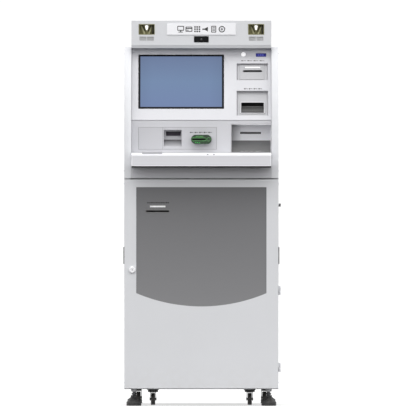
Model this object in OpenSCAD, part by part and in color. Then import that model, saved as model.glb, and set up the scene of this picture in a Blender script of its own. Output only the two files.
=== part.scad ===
// Free-standing self-service terminal: a steel cabinet on casters and levelling feet, with a
// curved head that carries a tilted touch screen, card and paper slots, and a shelf with a PIN pad.
// Millimetres. The origin is on the floor, at the middle of the footprint. The user stands at -Y.

/* [Cabinet] */
// Height from the floor to the top of the header
total_h = 1600; // [1590:5:1620]
// Width of the cabinet
cab_w = 640; // [620:5:660]
// Depth of the cabinet, from the front door to the rear panel
cab_d = 560; // [540:5:600]
// Height of the base plate above the floor
base_z = 69; // [69:1:75]
// Height of the seam between the cabinet and the head
seam_z = 944; // [942:1:948]
// Thickness of the folded steel sheet
sheet = 1.5; // [1.2:0.1:2]
// Depth of the front door's folded pan
door_d = 20; // [18:1:24]

/* [Head] */
// Height of the top of the hood
hood_z = 1491; // [1488:1:1495]
// Width of each cheek beside the screen
cheek_w = 29; // [27:1:31]
// Radius of the cheeks' curved front edge
cheek_r = 821; // [800:1:840]
// Tilt of the screen back from upright
screen_tilt = 22; // [21:0.5:23]
// Depth of the card and keypad panel behind the cheeks
panel_set = 45; // [43:1:47]
// Height of the screen's lower edge line
screen_z = 1189; // [1188:1:1192]
// Distance of the header's front behind the cabinet's front
header_set = 110; // [104:1:114]

/* [Shelf] */
// Distance that the shelf stands out in front of the cabinet
shelf_out = 100; // [90:1:110]
// Height of the shelf's underside
shelf_z = 994; // [993:1:996]
// Height of the shelf from its underside to its top
shelf_h = 57; // [56:1:58]

/* [Running gear] */
// Diameter of the caster wheels
wheel_d = 50; // [48:1:50]
// Gap between the wheels and the floor while the feet carry the cabinet
wheel_gap = 2; // [1:0.5:4]
// Distance of the front casters from the middle
front_caster_x = 201; // [195:1:205]
// Distance of the rear casters from the middle
rear_caster_x = 263.5; // [255:0.5:268]
// Distance of the levelling feet from the middle
foot_x = 280; // [275:1:285]

/* [Hidden] */
$fn = 64;
eps = 0.01;
half_w = cab_w / 2;
front_y = shelf_out - (cab_d + shelf_out) / 2;
back_y = (cab_d + shelf_out) / 2;
shelf_front_y = front_y - shelf_out;
frame_y = front_y + door_d + 2;
base_t = 3;
base_top = base_z + base_t;
deck_t = 2;
deck_z = seam_z - deck_t;
recess_x = half_w - cheek_w;
panel_x = recess_x - 0.5;
panel_y = front_y + panel_set;
arc_z = 1020;
shelf_top = shelf_z + shelf_h;
header_y = front_y + header_set;
header_z = hood_z - 6;
hood_front_y = front_y + cheek_r - sqrt(pow(cheek_r, 2) - pow(hood_z - arc_z, 2));
fascia_len = (header_z - screen_z) / cos(screen_tilt);
door_x = half_w - 0.5;
door_bottom = base_top + 0.5;
door_top = deck_z - 2.5;
wheel_z = wheel_d / 2 + wheel_gap;

// Front door furniture
hinge_r = 4.8;
hinge_x = half_w + hinge_r;
hinge_y = frame_y - 1;
hinge_places = [[160, 38, hinge_r], [479, 38, hinge_r], [833, 12.5, 4.2]];
lock_x = -286.5;
lock_z = 565;
inset_w = 540;
inset_top = 907;
inset_side = 467.5;
inset_drop = 55;
inset_r = (pow(inset_w / 2, 2) + pow(inset_drop, 2)) / (2 * inset_drop);
door_slot_x = -181.5;
door_slot_z = 807.5;

// Screen and outlets, in the tilted fascia's own width and slope length
screen_x = -84;
screen_w = 355;
screen_v = [48, 291];
fascia_lip = 3.5;
bay_x = [146.5, 277.5];
card_bay_v = [175.7, 251.3];
card_bay_depth = 12;
card_slot_z = 1389.7;
doc_bay_v = [16.8, 128.3];
doc_bay_depth = 16;
doc_mouth_z = [1218, 1258];
doc_ridge_z = 1242;
outlet_x = 212.5;
lamp_x = 175;
lamp_v = 292.3;

// Card panel, receipt bay and PIN pad
reader_x = [-262.5, 65];
reader_z = [1062, 1158];
mouth_z = 1105.5;
niche_x = [-156, -82];
niche_z = [1075, 1145];
receipt_x = [124, 290];
receipt_z = [shelf_top + 1, 1168.5];
receipt_depth = 80;
receipt_slot_x = 204.5;
receipt_slot_z = 1133;
pad_x = [146, 262];
pad_y = [-300, -210];
key_rows = 4;
key_pitch = 20;
key_w = 15;
wide_key_w = 26;
key_x = [168, 188, 208, 236];
key_y0 = -285;
key_lift = 4;
well_gap = 0.5;
roll_y = 22;
roll_z = 1127;

// Running gear
front_caster_y = -140;
rear_caster_y = 200;
foot_y = [-190, 290];
foot_lift = 14;
weld_nut_h = 10;
anchor_x = 130;
anchor_y = [-120, 290];
rear_hinge = [half_w - 8, back_y - 8];
rear_lock_x = -290;
rear_lock_z = 1220;
plug_r = 7;
handle_y = 40;
handle_z = 622.5;
inlet_x = -200;
inlet_z = 130;

light_grey = [0.83, 0.83, 0.84];
white = [0.93, 0.93, 0.94];
mid_grey = [0.47, 0.47, 0.48];
dark_grey = [0.27, 0.27, 0.28];
black = [0.07, 0.07, 0.08];
steel = [0.72, 0.72, 0.73];

KEYS = [
    ["key_1", 0, 3], ["key_2", 1, 3], ["key_3", 2, 3], ["key_cancel", 3, 3],
    ["key_4", 0, 2], ["key_5", 1, 2], ["key_6", 2, 2], ["key_clear", 3, 2],
    ["key_7", 0, 1], ["key_8", 1, 1], ["key_9", 2, 1], ["key_enter", 3, 0.5],
    ["key_star", 0, 0], ["key_0", 1, 0], ["key_hash", 2, 0]
];

// ---------------------------------------------------------------- shared shapes

// A box between two corners, each given as ranges along X, Y and Z.
module span(x, y, z) {
    translate([x[0], y[0], z[0]]) cube([x[1] - x[0], y[1] - y[0], z[1] - z[0]]);
}

// Copies a shape made for the right-hand side to the left as well.
module both_sides() {
    children();
    mirror([1, 0, 0]) children();
}

// Extrudes an outline drawn in Y and Z across a range of X.
module across(x) {
    translate([x[0], 0, 0]) rotate([90, 0, 90]) linear_extrude(x[1] - x[0]) children();
}

// Extrudes an outline drawn in X and Z from y0 back to y1.
module inward(y) {
    translate([0, y[1], 0]) rotate([90, 0, 0]) linear_extrude(y[1] - y[0]) children();
}

module round_rect(x, z, r) {
    translate([x[0] + r, z[0]]) square([x[1] - x[0] - 2 * r, z[1] - z[0]]);
    translate([x[0], z[0] + r]) square([x[1] - x[0], z[1] - z[0] - 2 * r]);
    for (cx = [x[0] + r, x[1] - r], cz = [z[0] + r, z[1] - r]) translate([cx, cz]) circle(r);
}

// The screen's plane: X as it is, Y into the machine, Z up the slope from its lower edge.
module on_fascia() {
    translate([0, panel_y, screen_z]) rotate([-screen_tilt, 0, 0]) children();
}

function shrink(range, by) = [range[0] + by, range[1] - by];
function around(middle, width) = [middle - width / 2, middle + width / 2];

// ---------------------------------------------------------------- cabinet

// Floor of the cabinet, with plates for the front casters and welded nuts for the feet.
module base_plate() {
    difference() {
        union() {
            span([-half_w, half_w], [frame_y, back_y], [base_z, base_top]);
            both_sides() {
                span(around(front_caster_x, 50), around(front_caster_y, 56), [base_z - 2.5, base_z]);
                for (y = foot_y)
                    translate([foot_x, y, base_z - weld_nut_h]) cylinder(r = 12, h = weld_nut_h + eps);
            }
        }
        both_sides() {
            translate([front_caster_x, front_caster_y, base_z - 3]) cylinder(r = 5, h = 7);
            for (y = foot_y) translate([foot_x, y, base_z - weld_nut_h - 1]) cylinder(r = 6.08, h = 20);
            for (y = anchor_y) translate([anchor_x, y, base_z - 1]) cylinder(r = 7, h = 5);
        }
    }
}

module side_sheet() {
    difference() {
        union() {
            span([half_w - sheet, half_w], [frame_y, back_y], [base_z, deck_z]);
            span([half_w - 25, half_w], [frame_y, frame_y + sheet], [base_z, deck_z]);
        }
        span([half_w - 2, half_w + 1], around(handle_y, 116), around(handle_z, 52));
    }
}

// Lower halves of the front door's lift-off hinges, with their pins.
module hinge_pins() {
    for (h = hinge_places) translate([0, 0, h[0]]) {
        span([half_w - eps, half_w + 1.5], [frame_y, frame_y + 18], [-h[1] / 2, -0.3]);
        span([half_w, hinge_x], [frame_y, frame_y + 3], [-h[1] / 2, -0.3]);
        translate([hinge_x, hinge_y, -h[1] / 2]) cylinder(r = h[2], h = h[1] / 2 - 0.3);
        translate([hinge_x, hinge_y, -1]) cylinder(r = 2.5, h = h[1] / 2);
    }
}

module vents(x, z0, rows, step) {
    for (sx = [-x, x], row = [0:rows - 1])
        span(around(sx, 150), [back_y - 3, back_y + 1], around(z0 + row * step, 3.5));
}

// The welded cabinet: base, sides, rear wall and the deck that the head stands on.
module cabinet_shell() {
    color(light_grey) {
        base_plate();
        both_sides() side_sheet();
        hinge_pins();
        difference() {
            span([-half_w, half_w], [back_y - sheet, back_y], [base_z, deck_z]);
            vents(120, 620, 14, 15);
            span(around(inlet_x, 66), [back_y - 3, back_y + 1], around(inlet_z, 34));
        }
        difference() {
            span([-half_w, half_w], [frame_y, back_y], [deck_z - eps, seam_z]);
            span([-90, 90], [60, 200], [deck_z - 1, seam_z + 1]);
            translate([rear_hinge[0], rear_hinge[1], deck_z - 1]) cylinder(r = 3.05, h = 4);
        }
    }
}

// ---------------------------------------------------------------- head

// Side outline of the head: upright at the shelf, then an arc that leans back to the top.
module cheek_outline() {
    translate([front_y, seam_z]) square([cab_d - door_d, arc_z - seam_z]);
    intersection() {
        translate([front_y, arc_z - eps]) square([cab_d - door_d, hood_z - arc_z]);
        translate([front_y + cheek_r, arc_z]) circle(cheek_r, $fn = 200);
    }
}

module cheek_strip(depth) {
    difference() {
        cheek_outline();
        translate([depth, 0]) cheek_outline();
        translate([back_y - 60, seam_z - 1]) square([200, 600]);
    }
}

module upper_hood() {
    color(light_grey) {
        both_sides() {
            across([half_w - sheet, half_w]) difference() {
                cheek_outline();
                translate([back_y - door_d + 2, seam_z - 1]) square([100, 600]);
            }
            across([recess_x, half_w - sheet + eps]) cheek_strip(sheet);
            across([recess_x, recess_x + sheet]) cheek_strip(62);
        }
        span([-half_w, -half_w + 20], [back_y - door_d, back_y - door_d + sheet],
            [seam_z, hood_z - sheet + eps]);
        difference() {
            span([-half_w, half_w], [hood_front_y, back_y], [hood_z - sheet, hood_z]);
            translate([rear_hinge[0], rear_hinge[1], hood_z - 3]) cylinder(r = 3.05, h = 5);
        }
    }
}

// One folded sheet: the apron under the shelf, the ledge that carries the shelf, and the card panel.
module front_panel() {
    color(light_grey) difference() {
        union() {
            span([-panel_x, panel_x], [front_y, front_y + sheet], [seam_z, shelf_z]);
            span([-panel_x, panel_x], [front_y, panel_y + sheet], [shelf_z - sheet, shelf_z]);
            span([-panel_x, panel_x], [panel_y, panel_y + sheet], [shelf_z - sheet, screen_z - 5]);
        }
        span(shrink(reader_x, 4), [panel_y - 1, panel_y + 3], shrink(reader_z, 4));
        span(shrink(receipt_x, -0.5), [panel_y - 1, panel_y + 3], [shelf_top - 3, receipt_z[1] + 0.5]);
    }
}

module shelf_outline(inset) {
    y0 = shelf_front_y + inset;
    polygon([
        [y0, shelf_z + (inset > 0 ? -1 : 0)], [y0, shelf_top - 11 - inset / 2],
        [y0 + 28 - inset / 3, shelf_top - 1 - inset], [y0 + 30, shelf_top - inset],
        [panel_y - 0.3 - inset, shelf_top - inset], [panel_y - 0.3 - inset, shelf_z + (inset > 0 ? -1 : 0)]
    ]);
}

module shelf() {
    wall = 2.5;
    color(white) difference() {
        across([-recess_x + 1.5, recess_x - 1.5]) shelf_outline(0);
        across([-recess_x + 1.5 + wall, recess_x - 1.5 - wall]) shelf_outline(wall);
        span(pad_x, pad_y, [shelf_top - 10, shelf_top + 1]);
    }
}

module fascia_pocket(v, depth) {
    span(shrink(bay_x, -2), [2, depth + 2], shrink(v, -2));
}

// The hollow of a pocket: its side and lower walls slope in, its upper wall is square.
module pocket_hollow(v, depth) {
    draft = 5;
    intersection() {
        across(shrink(bay_x, -5)) polygon([
            [-2, v[0] - 2 * draft / depth], [depth, v[0] + draft], [depth, v[1]], [-2, v[1]]
        ]);
        translate([0, 0, v[0] - 10]) linear_extrude(v[1] - v[0] + 20) polygon([
            [bay_x[0] - 2 * draft / depth, -2], [bay_x[1] + 2 * draft / depth, -2],
            [bay_x[1] - draft, depth], [bay_x[0] + draft, depth]
        ]);
    }
}

// A moulded panel with the screen's cut-out and the two pockets for the card and document outlets.
module screen_fascia() {
    color(white) difference() {
        on_fascia() difference() {
            union() {
                span([-panel_x, panel_x], [0, 3], [-fascia_lip, fascia_len]);
                fascia_pocket(card_bay_v, card_bay_depth);
                fascia_pocket(doc_bay_v, doc_bay_depth);
            }
            span(around(screen_x, screen_w + 0.6), [-1, 4], shrink(screen_v, -0.3));
            pocket_hollow(card_bay_v, card_bay_depth);
            pocket_hollow(doc_bay_v, doc_bay_depth);
            translate([lamp_x, -1, lamp_v]) rotate([-90, 0, 0]) cylinder(r = 8, h = 6);
        }
        span(around(outlet_x, 87), [-115, -50], around(card_slot_z, 17));
        span(around(outlet_x, 98), [-175, -90], shrink(doc_mouth_z, -3));
    }
}

module header_outline(inset) {
    polygon([
        [header_y + inset, total_h - inset], [header_y + inset, header_z + 14],
        [header_y + 5 + inset / 2, header_z + inset], [hood_front_y - 1.5 - inset, header_z + inset],
        [hood_front_y - 1.5 - inset, hood_z + 0.3 + inset], [header_y + 250 - inset, hood_z + 0.3 + inset],
        [header_y + 250 - inset, total_h - inset]
    ]);
}

module header_housing() {
    color(light_grey) difference() {
        across([-recess_x, recess_x]) header_outline(0);
        across([-recess_x + 2, recess_x - 2]) header_outline(2);
        both_sides() {
            span(around(227.5, 66.6), [header_y - 1, header_y + 5], [1541.7, 1585.3]);
            for (x = [212, 244], row = [0:3])
                span(around(x, 27), [header_y - 1, header_y + 5], around(1519.5 + row * 4, 1.6));
        }
        span([-30.3, 30.3], [header_y - 1, header_y + 5], [1509.2, 1534.8]);
    }
}

module sign_plate() {
    color([0.96, 0.96, 0.97]) span([-143, 143], [header_y - 3, header_y], [1541, 1587.5]);
}

// Two lamp boxes with reflector walls, open towards the user.
module lamp_units() {
    color([0.45, 0.44, 0.34]) both_sides() difference() {
        span(around(227.5, 66), [header_y - 0.5, header_y + 50], [1542, 1585]);
        span(around(227.5, 63), [header_y - 1, header_y + 48.5], [1543.5, 1583.5]);
    }
}

// Camera body and lens behind a dark window in the header.
module camera_unit() {
    color(black) {
        span([-30, 30], [header_y - 1, header_y + 2.5], [1509.5, 1534.5]);
        span([-17, 17], [header_y + 12, header_y + 48], [1510.5, 1533.5]);
        translate([0, header_y + 2, 1522]) rotate([-90, 0, 0]) cylinder(r = 9, h = 12);
    }
}

module touch_screen() {
    color([0.4, 0.49, 0.65]) on_fascia()
        span(around(screen_x, screen_w), [-0.6, 3.5], screen_v);
}

module monitor() {
    color(dark_grey) on_fascia() {
        span(around(screen_x, 372), [4, 30], [40, 300]);
        span(around(screen_x, 240), [29, 44], [90, 250]);
    }
}

// Domed lamp in a bezel that plugs into the fascia above the pockets.
module status_lamp() {
    dome_r = 14;
    dome_h = 4;
    color([0.95, 0.95, 0.95]) on_fascia() translate([lamp_x, 0, lamp_v]) rotate([90, 0, 0]) {
        translate([0, 0, -10]) cylinder(r = 7.7, h = 10 + eps);
        cylinder(r = 10, h = 1);
        intersection() {
            translate([0, 0, dome_h - dome_r]) sphere(dome_r);
            cylinder(r = 9.3, h = 20);
        }
    }
}

// Slot plate in the upper pocket, with a level throat back to the card dispenser.
module card_outlet() {
    color([0.76, 0.76, 0.78]) difference() {
        union() {
            on_fascia() span([158.5, 261], [card_bay_depth - 2.5, card_bay_depth], [184, 250.5]);
            intersection() {
                span(around(outlet_x, 86), [-115, -58], around(card_slot_z, 16));
                on_fascia() span([150, 270], [card_bay_depth - 1, 80], [150, 300]);
            }
        }
        inward([-130, -50]) round_rect(around(outlet_x, 77), around(card_slot_z, 7.4), 3.6);
    }
}

// Black mouth, the sloping tongue that lies in it, and the transport unit behind it.
module document_acceptor() {
    mouth_x = around(outlet_x, 93);
    throat_y = -95;
    gap = 0.2;
    color(black) {
        difference() {
            union() {
                on_fascia()
                    span(around(outlet_x, 101), [doc_bay_depth - 3, doc_bay_depth], [31, 84]);
                intersection() {
                    span(around(outlet_x, 97), [-170, throat_y], shrink(doc_mouth_z, -2));
                    on_fascia() span([150, 270], [doc_bay_depth - 1, 120], [-60, 160]);
                }
            }
            inward([-180, throat_y + 1]) round_rect(mouth_x, doc_mouth_z, 3);
        }
        across(shrink(mouth_x, 3)) polygon([
            [-157, doc_mouth_z[0] + gap], [-155, doc_mouth_z[0] + 2], [-132, doc_ridge_z - 1],
            [-128, doc_ridge_z], [throat_y, doc_ridge_z - 1], [throat_y, doc_mouth_z[0] + gap]
        ]);
        difference() {
            span([160, 265], [throat_y + gap, 0], [1205, 1276]);
            span(mouth_x, [throat_y - 1, -40], [doc_ridge_z + 1, doc_mouth_z[1] - 1]);
        }
    }
}

// ---------------------------------------------------------------- card panel and receipt bay

module capsule(w, h) {
    translate([-(w - h) / 2, -h / 2]) square([w - h, h]);
    for (s = [-1, 1]) translate([s * (w - h) / 2, 0]) circle(h / 2);
}

// Plate in front of the card panel, with a drawn niche whose floor slopes out to the user.
module reader_panel() {
    wall = 1.5;
    color(light_grey) difference() {
        union() {
            span(reader_x, [panel_y - 1.2, panel_y], reader_z);
            span(shrink(niche_x, -wall), [panel_y - 1, panel_y + 36], shrink(niche_z, -wall));
        }
        across(niche_x) polygon([
            [panel_y - 2, niche_z[0]], [panel_y - 2, niche_z[1]], [panel_y + 34.5, niche_z[1]],
            [panel_y + 34.5, niche_z[0] + 28], [panel_y - 1, niche_z[0]]
        ]);
        span([-147, -86.5], [panel_y + 30, panel_y + 40], [1120.5, 1138.5]);
        inward([panel_y - 2, panel_y + 1]) translate([0, mouth_z]) capsule(76, 32);
    }
}

// Translucent card guide: a capsule that stands out from the panel, with the card slot to its left.
module card_mouth() {
    color([0.1, 0.45, 0.15]) difference() {
        union() {
            inward([panel_y - 34, panel_y - 1.3]) translate([0, mouth_z]) capsule(85, 38);
            inward([panel_y - 2, panel_y + 2]) translate([0, mouth_z]) capsule(75, 31);
        }
        span([-38, 18], [panel_y - 40, panel_y + 5], around(mouth_z, 5.5));
        translate([30, panel_y - 33, mouth_z]) rotate([90, 0, 0]) cylinder(r = 8, h = 5);
    }
}

module card_reader() {
    color(dark_grey) difference() {
        span([-50, 50], [panel_y + 2.5, -30], [1078, 1138]);
        span([-38, 18], [panel_y, -60], around(mouth_z, 5.5));
        span([-44, 44], [-150, -40], [1122, 1139]);
    }
}

// Moulded tray around the receipt slot. Its floor is the PIN pad's dark rear shield.
module receipt_bay() {
    wall = 2;
    back = panel_y + receipt_depth;
    color(light_grey) difference() {
        span(receipt_x, [panel_y, back], [shelf_top - 2, receipt_z[1]]);
        span(shrink(receipt_x, wall), [panel_y - 1, back - wall], [shelf_top - 3, receipt_z[1] - wall]);
        inward([back - 5, back + 1])
            round_rect(around(receipt_slot_x, 87), around(receipt_slot_z, 9), 2);
    }
}

// Thermal printer: head block, floor and two arms with the spindle for the paper roll.
module receipt_printer() {
    back = panel_y + receipt_depth;
    color(dark_grey) {
        difference() {
            span([150, 260], [back + 0.5, -40], [1085, 1156]);
            span(around(receipt_slot_x, 84), [back - 1, -39], around(receipt_slot_z, 6));
        }
        span([150, 260], [back + 0.5, 78], [1080, 1085 + eps]);
        for (x = [152, 254]) span([x, x + 4], [-41, 34], [1085, 1140]);
        translate([153, roll_y, roll_z]) rotate([0, 90, 0]) cylinder(r = 6, h = 104);
    }
}

module paper_roll() {
    color([0.95, 0.95, 0.93]) difference() {
        translate([receipt_slot_x - 40, roll_y, roll_z]) rotate([0, 90, 0]) cylinder(r = 38, h = 80);
        translate([100, roll_y, roll_z]) rotate([0, 90, 0]) cylinder(r = 6.08, h = 200);
    }
}

// ---------------------------------------------------------------- PIN pad

function key_size(k) = [
    k[1] == 3 ? wide_key_w : key_w,
    k[0] == "key_enter" ? key_w + key_pitch : key_w
];

// Places a key's child shape: the key's centre on the pad's top face.
module at_key(k) {
    translate([key_x[k[1]], key_y0 + k[2] * key_pitch, shelf_top + 1]) children();
}

module pin_pad() {
    shield_x = [126.3, 287.7];
    color(dark_grey) difference() {
        union() {
            span(pad_x, pad_y, [shelf_top - 24, shelf_top + 1]);
            span([pad_x[0], pad_x[1]], [pad_y[1] - eps, panel_y + 1], [shelf_top, shelf_top + 1]);
            span(shield_x, [panel_y - 16, panel_y + 3], [shelf_top, shelf_top + 1]);
            across(shield_x) polygon([
                [panel_y + 1, shelf_top], [panel_y + 1, shelf_top + 1.2],
                [panel_y + receipt_depth - 2.6, shelf_top + 50.7],
                [panel_y + receipt_depth - 2.6, shelf_top + 48]
            ]);
        }
        for (k = KEYS) at_key(k) {
            size = key_size(k);
            span(around(0, size[0] + 2 * well_gap), around(0, size[1] + 2 * well_gap), [-12, 1]);
        }
    }
}

module pad_key(k) {
    size = key_size(k);
    color(steel) at_key(k) {
        span(around(0, size[0]), around(0, size[1]), [-7, key_lift - 1]);
        span(around(0, size[0] - 2), around(0, size[1] - 2), [key_lift - 1 - eps, key_lift]);
    }
}

// Contactless document pad over the shelf's nose.
module id_reader_pad() {
    y0 = shelf_front_y + 8;
    color(light_grey) across([-246, -162]) polygon([
        [y0, shelf_top - 7.6], [y0, shelf_top + 2], [y0 + 2, shelf_top + 4],
        [y0 + 105, shelf_top + 4], [y0 + 107, shelf_top + 2], [y0 + 107, shelf_top + 0.2],
        [y0 + 22, shelf_top + 0.2], [y0 + 20, shelf_top - 0.7]
    ]);
}

// ---------------------------------------------------------------- modules inside

module card_dispenser() {
    color(steel) difference() {
        union() {
            span([156, 268], [-57.5, 170], [1318, 1420]);
            span([170, 254], [60, 165], [1419, 1470]);
        }
        span([162, 262], [-40, 50], [1345, 1421]);
        span([173, 251], [63, 162], [1340, 1471]);
        span(around(outlet_x, 80), [-60, -39], around(card_slot_z, 8));
    }
}

// A sheet-metal case on four feet, open inside behind its front vents.
module equipment_case(x, y, z, vent_w, vent_rows) {
    wall = 2;
    for (fx = shrink(x, 20), fy = shrink(y, 20))
        translate([fx, fy, base_top]) cylinder(r = 9, h = z[0] - base_top + eps);
    difference() {
        span(x, y, z);
        span(shrink(x, wall), shrink(y, wall), shrink(z, wall));
        for (row = [0:vent_rows - 1])
            span(around((x[0] + x[1]) / 2, vent_w), [y[0] - 1, y[0] + wall + 1],
                around(z[0] + 30 + row * 12, 4));
    }
}

module industrial_pc() {
    color(dark_grey) equipment_case([-262, 68], [-60, 270], [base_top + 6, base_top + 150], 200, 8);
}

module power_supply() {
    color(black) equipment_case([190, 300], [-50, 260], [base_top + 6, base_top + 220], 70, 12);
}

// Two pull handles: a flange outside each side panel and a finger pocket behind it.
module side_handles() {
    color(black) both_sides() difference() {
        union() {
            span([half_w, half_w + 5], around(handle_y, 140), around(handle_z, 71));
            span([half_w - 26, half_w + eps], around(handle_y, 115), around(handle_z, 51));
        }
        span([half_w - 24, half_w + 6], around(handle_y, 111), around(handle_z, 47));
    }
}

// Mains socket and switch housing in the rear panel.
module mains_inlet() {
    color(black) difference() {
        union() {
            span(around(inlet_x, 76), [back_y, back_y + 2], around(inlet_z, 44));
            span(around(inlet_x, 65), [back_y - 32, back_y + eps], around(inlet_z, 33));
        }
        span([inlet_x - 27, inlet_x - 3], [back_y - 16, back_y + 3], around(inlet_z, 16));
        span([inlet_x + 7, inlet_x + 23], [back_y - 12, back_y + 3], around(inlet_z, 24));
        translate([inlet_x + 6, back_y - 4, inlet_z]) rotate([0, 90, 0]) cylinder(r = 1.5, h = 18);
    }
}

// Rocker, drawn in its rest position with the upper end pressed in.
module power_switch() {
    color([0.5, 0.06, 0.05]) translate([inlet_x + 15, back_y - 4, inlet_z]) {
        rotate([8, 0, 0]) span([-7, 7], [-3, 5], [-10, 10]);
        translate([-8.8, 0, 0]) rotate([0, 90, 0]) cylinder(r = 1.45, h = 17.6);
    }
}

// ---------------------------------------------------------------- doors

// The door's grey panel: a rectangle whose lower edge is an arc.
module inset_outline(grow) {
    intersection() {
        translate([-inset_w / 2 - grow, 0]) square([inset_w + 2 * grow, inset_top + grow]);
        union() {
            translate([-cab_w / 2, inset_side]) square([cab_w, 600]);
            translate([0, inset_side - inset_drop + inset_r - grow]) circle(inset_r, $fn = 200);
        }
    }
}

// Upper halves of the door's hinges, bored to lift off the pins.
module hinge_leaves() {
    for (h = hinge_places) translate([0, 0, h[0]]) difference() {
        union() {
            span([half_w - 1, half_w + 1], [front_y + 2, frame_y - 2.5], [0.3, h[1] / 2]);
            span([half_w - 1, hinge_x], [hinge_y - 4, frame_y - 2.1], [0.3, h[1] / 2]);
            translate([hinge_x, hinge_y, 0.3]) cylinder(r = h[2], h = h[1] / 2 - 0.3);
        }
        translate([hinge_x, hinge_y, -1]) cylinder(r = 2.55, h = h[1]);
    }
}

module front_door() {
    color(light_grey) {
        hinge_leaves();
        difference() {
            union() {
                difference() {
                    span([-door_x, door_x], [front_y, front_y + door_d], [door_bottom, door_top]);
                    span([-door_x + sheet, door_x - sheet], [front_y + sheet, front_y + door_d + 1],
                        [door_bottom + sheet, door_top - sheet]);
                }
                translate([lock_x, front_y + 8, lock_z]) rotate([90, 0, 0]) cylinder(r = 12.8, h = 15);
                span(around(lock_x, 32), [front_y + sheet, front_y + door_d - 3], around(lock_z, 40));
            }
            inward([front_y - 1, front_y + sheet]) inset_outline(0);
            translate([lock_x, front_y + 30, lock_z]) rotate([90, 0, 0]) cylinder(r = plug_r + 0.05, h = 50);
        }
    }
}

module door_inset() {
    color(mid_grey) difference() {
        inward([front_y + sheet, front_y + sheet + 2]) inset_outline(0);
        span(around(door_slot_x, 100), [front_y, front_y + 10], around(door_slot_z, 11));
        span(around(lock_x, 33), [front_y, front_y + 10], around(lock_z, 41));
    }
}

module door_slot_bezel() {
    color(black) difference() {
        union() {
            span(around(door_slot_x, 103), [front_y + 0.5, front_y + sheet], around(door_slot_z, 14));
            span(around(door_slot_x, 99), [front_y + 1, front_y + 30], around(door_slot_z, 10.5));
        }
        span(around(door_slot_x, 95), [front_y, front_y + 31], around(door_slot_z, 6.5));
    }
}

// Key plug and cam, for a door whose outer face is at y0 and whose frame is at y1.
// The cam stands upright at rest, clear of the frame's flange. The user side is towards dir.
module key_lock(y0, y1, dir) {
    out = y0 + dir * 7.5;
    cam = y1 - dir * 3.5;
    tail = cam - dir * 2.5;
    difference() {
        translate([0, max(out, tail), 0]) rotate([90, 0, 0]) cylinder(r = plug_r, h = abs(out - tail));
        span([-0.8, 0.8], [min(out, out - dir * 5), max(out, out - dir * 5)], [-4, 4]);
    }
    span([-7, 7], [min(cam, tail), max(cam, tail)], [-8, 26]);
}

module front_lock() {
    color(steel) translate([lock_x, 0, lock_z]) key_lock(front_y, frame_y + sheet, -1);
}

module rear_lock() {
    color(steel) translate([rear_lock_x, 0, rear_lock_z]) key_lock(back_y, back_y - door_d, 1);
}

// Rear service door: a folded pan that turns on a pin at its top and bottom.
module rear_door() {
    y0 = back_y - door_d + 3.5;
    z = [seam_z + 1, hood_z - sheet - 1];
    color(light_grey) difference() {
        union() {
            difference() {
                span([-door_x, door_x], [y0, back_y], z);
                span([-door_x + sheet, door_x - sheet], [y0 - 1, back_y - sheet], shrink(z, sheet));
                vents(130, 1330, 9, 13);
            }
            for (end = [z[0] - 3, z[1] - 2])
                translate([rear_hinge[0], rear_hinge[1], end]) cylinder(r = 3, h = 5);
            translate([rear_lock_x, back_y + 7, rear_lock_z]) rotate([90, 0, 0]) cylinder(r = 12.8, h = 15);
        }
        translate([rear_lock_x, back_y + 20, rear_lock_z]) rotate([90, 0, 0])
            cylinder(r = plug_r + 0.05, h = 50);
    }
}

// ---------------------------------------------------------------- running gear

axle_r = 4;
caster_trail = 22;

// Two fork legs, their bridge and the axle, around a wheel centred at the origin.
module fork_legs() {
    bridge_z = wheel_d / 2 + 2;
    for (s = [-1, 1]) translate([s * 11.75, 0, 0]) {
        span([-1.25, 1.25], [-8, 8], [0, bridge_z + 2]);
        rotate([0, 90, 0]) cylinder(r = 8, h = 2.5, center = true);
    }
    span([-13, 13], [-16, 16], [bridge_z, bridge_z + 2.5]);
    translate([-14.5, 0, 0]) rotate([0, 90, 0]) cylinder(r = axle_r, h = 29);
}

// Swivel caster head. The wheel trails behind the kingpin.
module swivel_fork(side) {
    color(steel) translate([side * front_caster_x, front_caster_y, 0]) {
        translate([0, caster_trail, wheel_z]) fork_legs();
        span([-13, 13], [-10, caster_trail], [wheel_z + wheel_d / 2 + 2, wheel_z + wheel_d / 2 + 4.5]);
        translate([0, 0, wheel_z + wheel_d / 2 + 4])
            cylinder(r = 21, h = base_z - 3 - wheel_z - wheel_d / 2 - 4);
        translate([0, 0, base_z - 4]) cylinder(r = 4.95, h = 8);
    }
}

module rear_caster_forks() {
    color(steel) both_sides() translate([rear_caster_x, rear_caster_y, 0]) {
        translate([0, 0, wheel_z]) fork_legs();
        span([-16, 29], [-22, 22], [base_z - 2.5, base_z]);
        span([-13, 13], [-16, 16], [wheel_z + wheel_d / 2 + 3, base_z - 2]);
    }
}

module caster_wheel(x, y) {
    color(black) translate([x, y, wheel_z]) rotate([0, 90, 0]) difference() {
        rotate_extrude() difference() {
            union() {
                translate([0, -7.5]) square([wheel_d / 2, 15]);
                translate([0, -9]) square([wheel_d / 2 - 1.5, 18]);
                for (s = [-1, 1]) translate([wheel_d / 2 - 1.5, s * 7.5]) circle(1.5);
            }
            for (s = [-1, 1]) translate([9, s * 9 - 1.5]) square([8, 3]);
            translate([-30, -10]) square([30, 20]);
        }
        cylinder(r = axle_r + 0.05, h = 30, center = true);
    }
}

// Round pad with a threaded stem and a lock nut. It rises by foot_lift when it is screwed in.
module foot(sx, y) {
    stem_r = 6;
    nut_z = base_z - weld_nut_h - foot_lift - 9;
    color(black) translate([sx * foot_x, y, 0]) {
        rotate_extrude() polygon([[0, 0], [30, 0], [31, 1], [31, 17], [27, 20], [13, 31], [9, 33], [0, 33]]);
        translate([0, 0, 30]) cylinder(r = stem_r, h = base_top + 12 - 30);
        translate([0, 0, nut_z]) cylinder(r = 13.5, h = 8, $fn = 6);
    }
}

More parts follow.
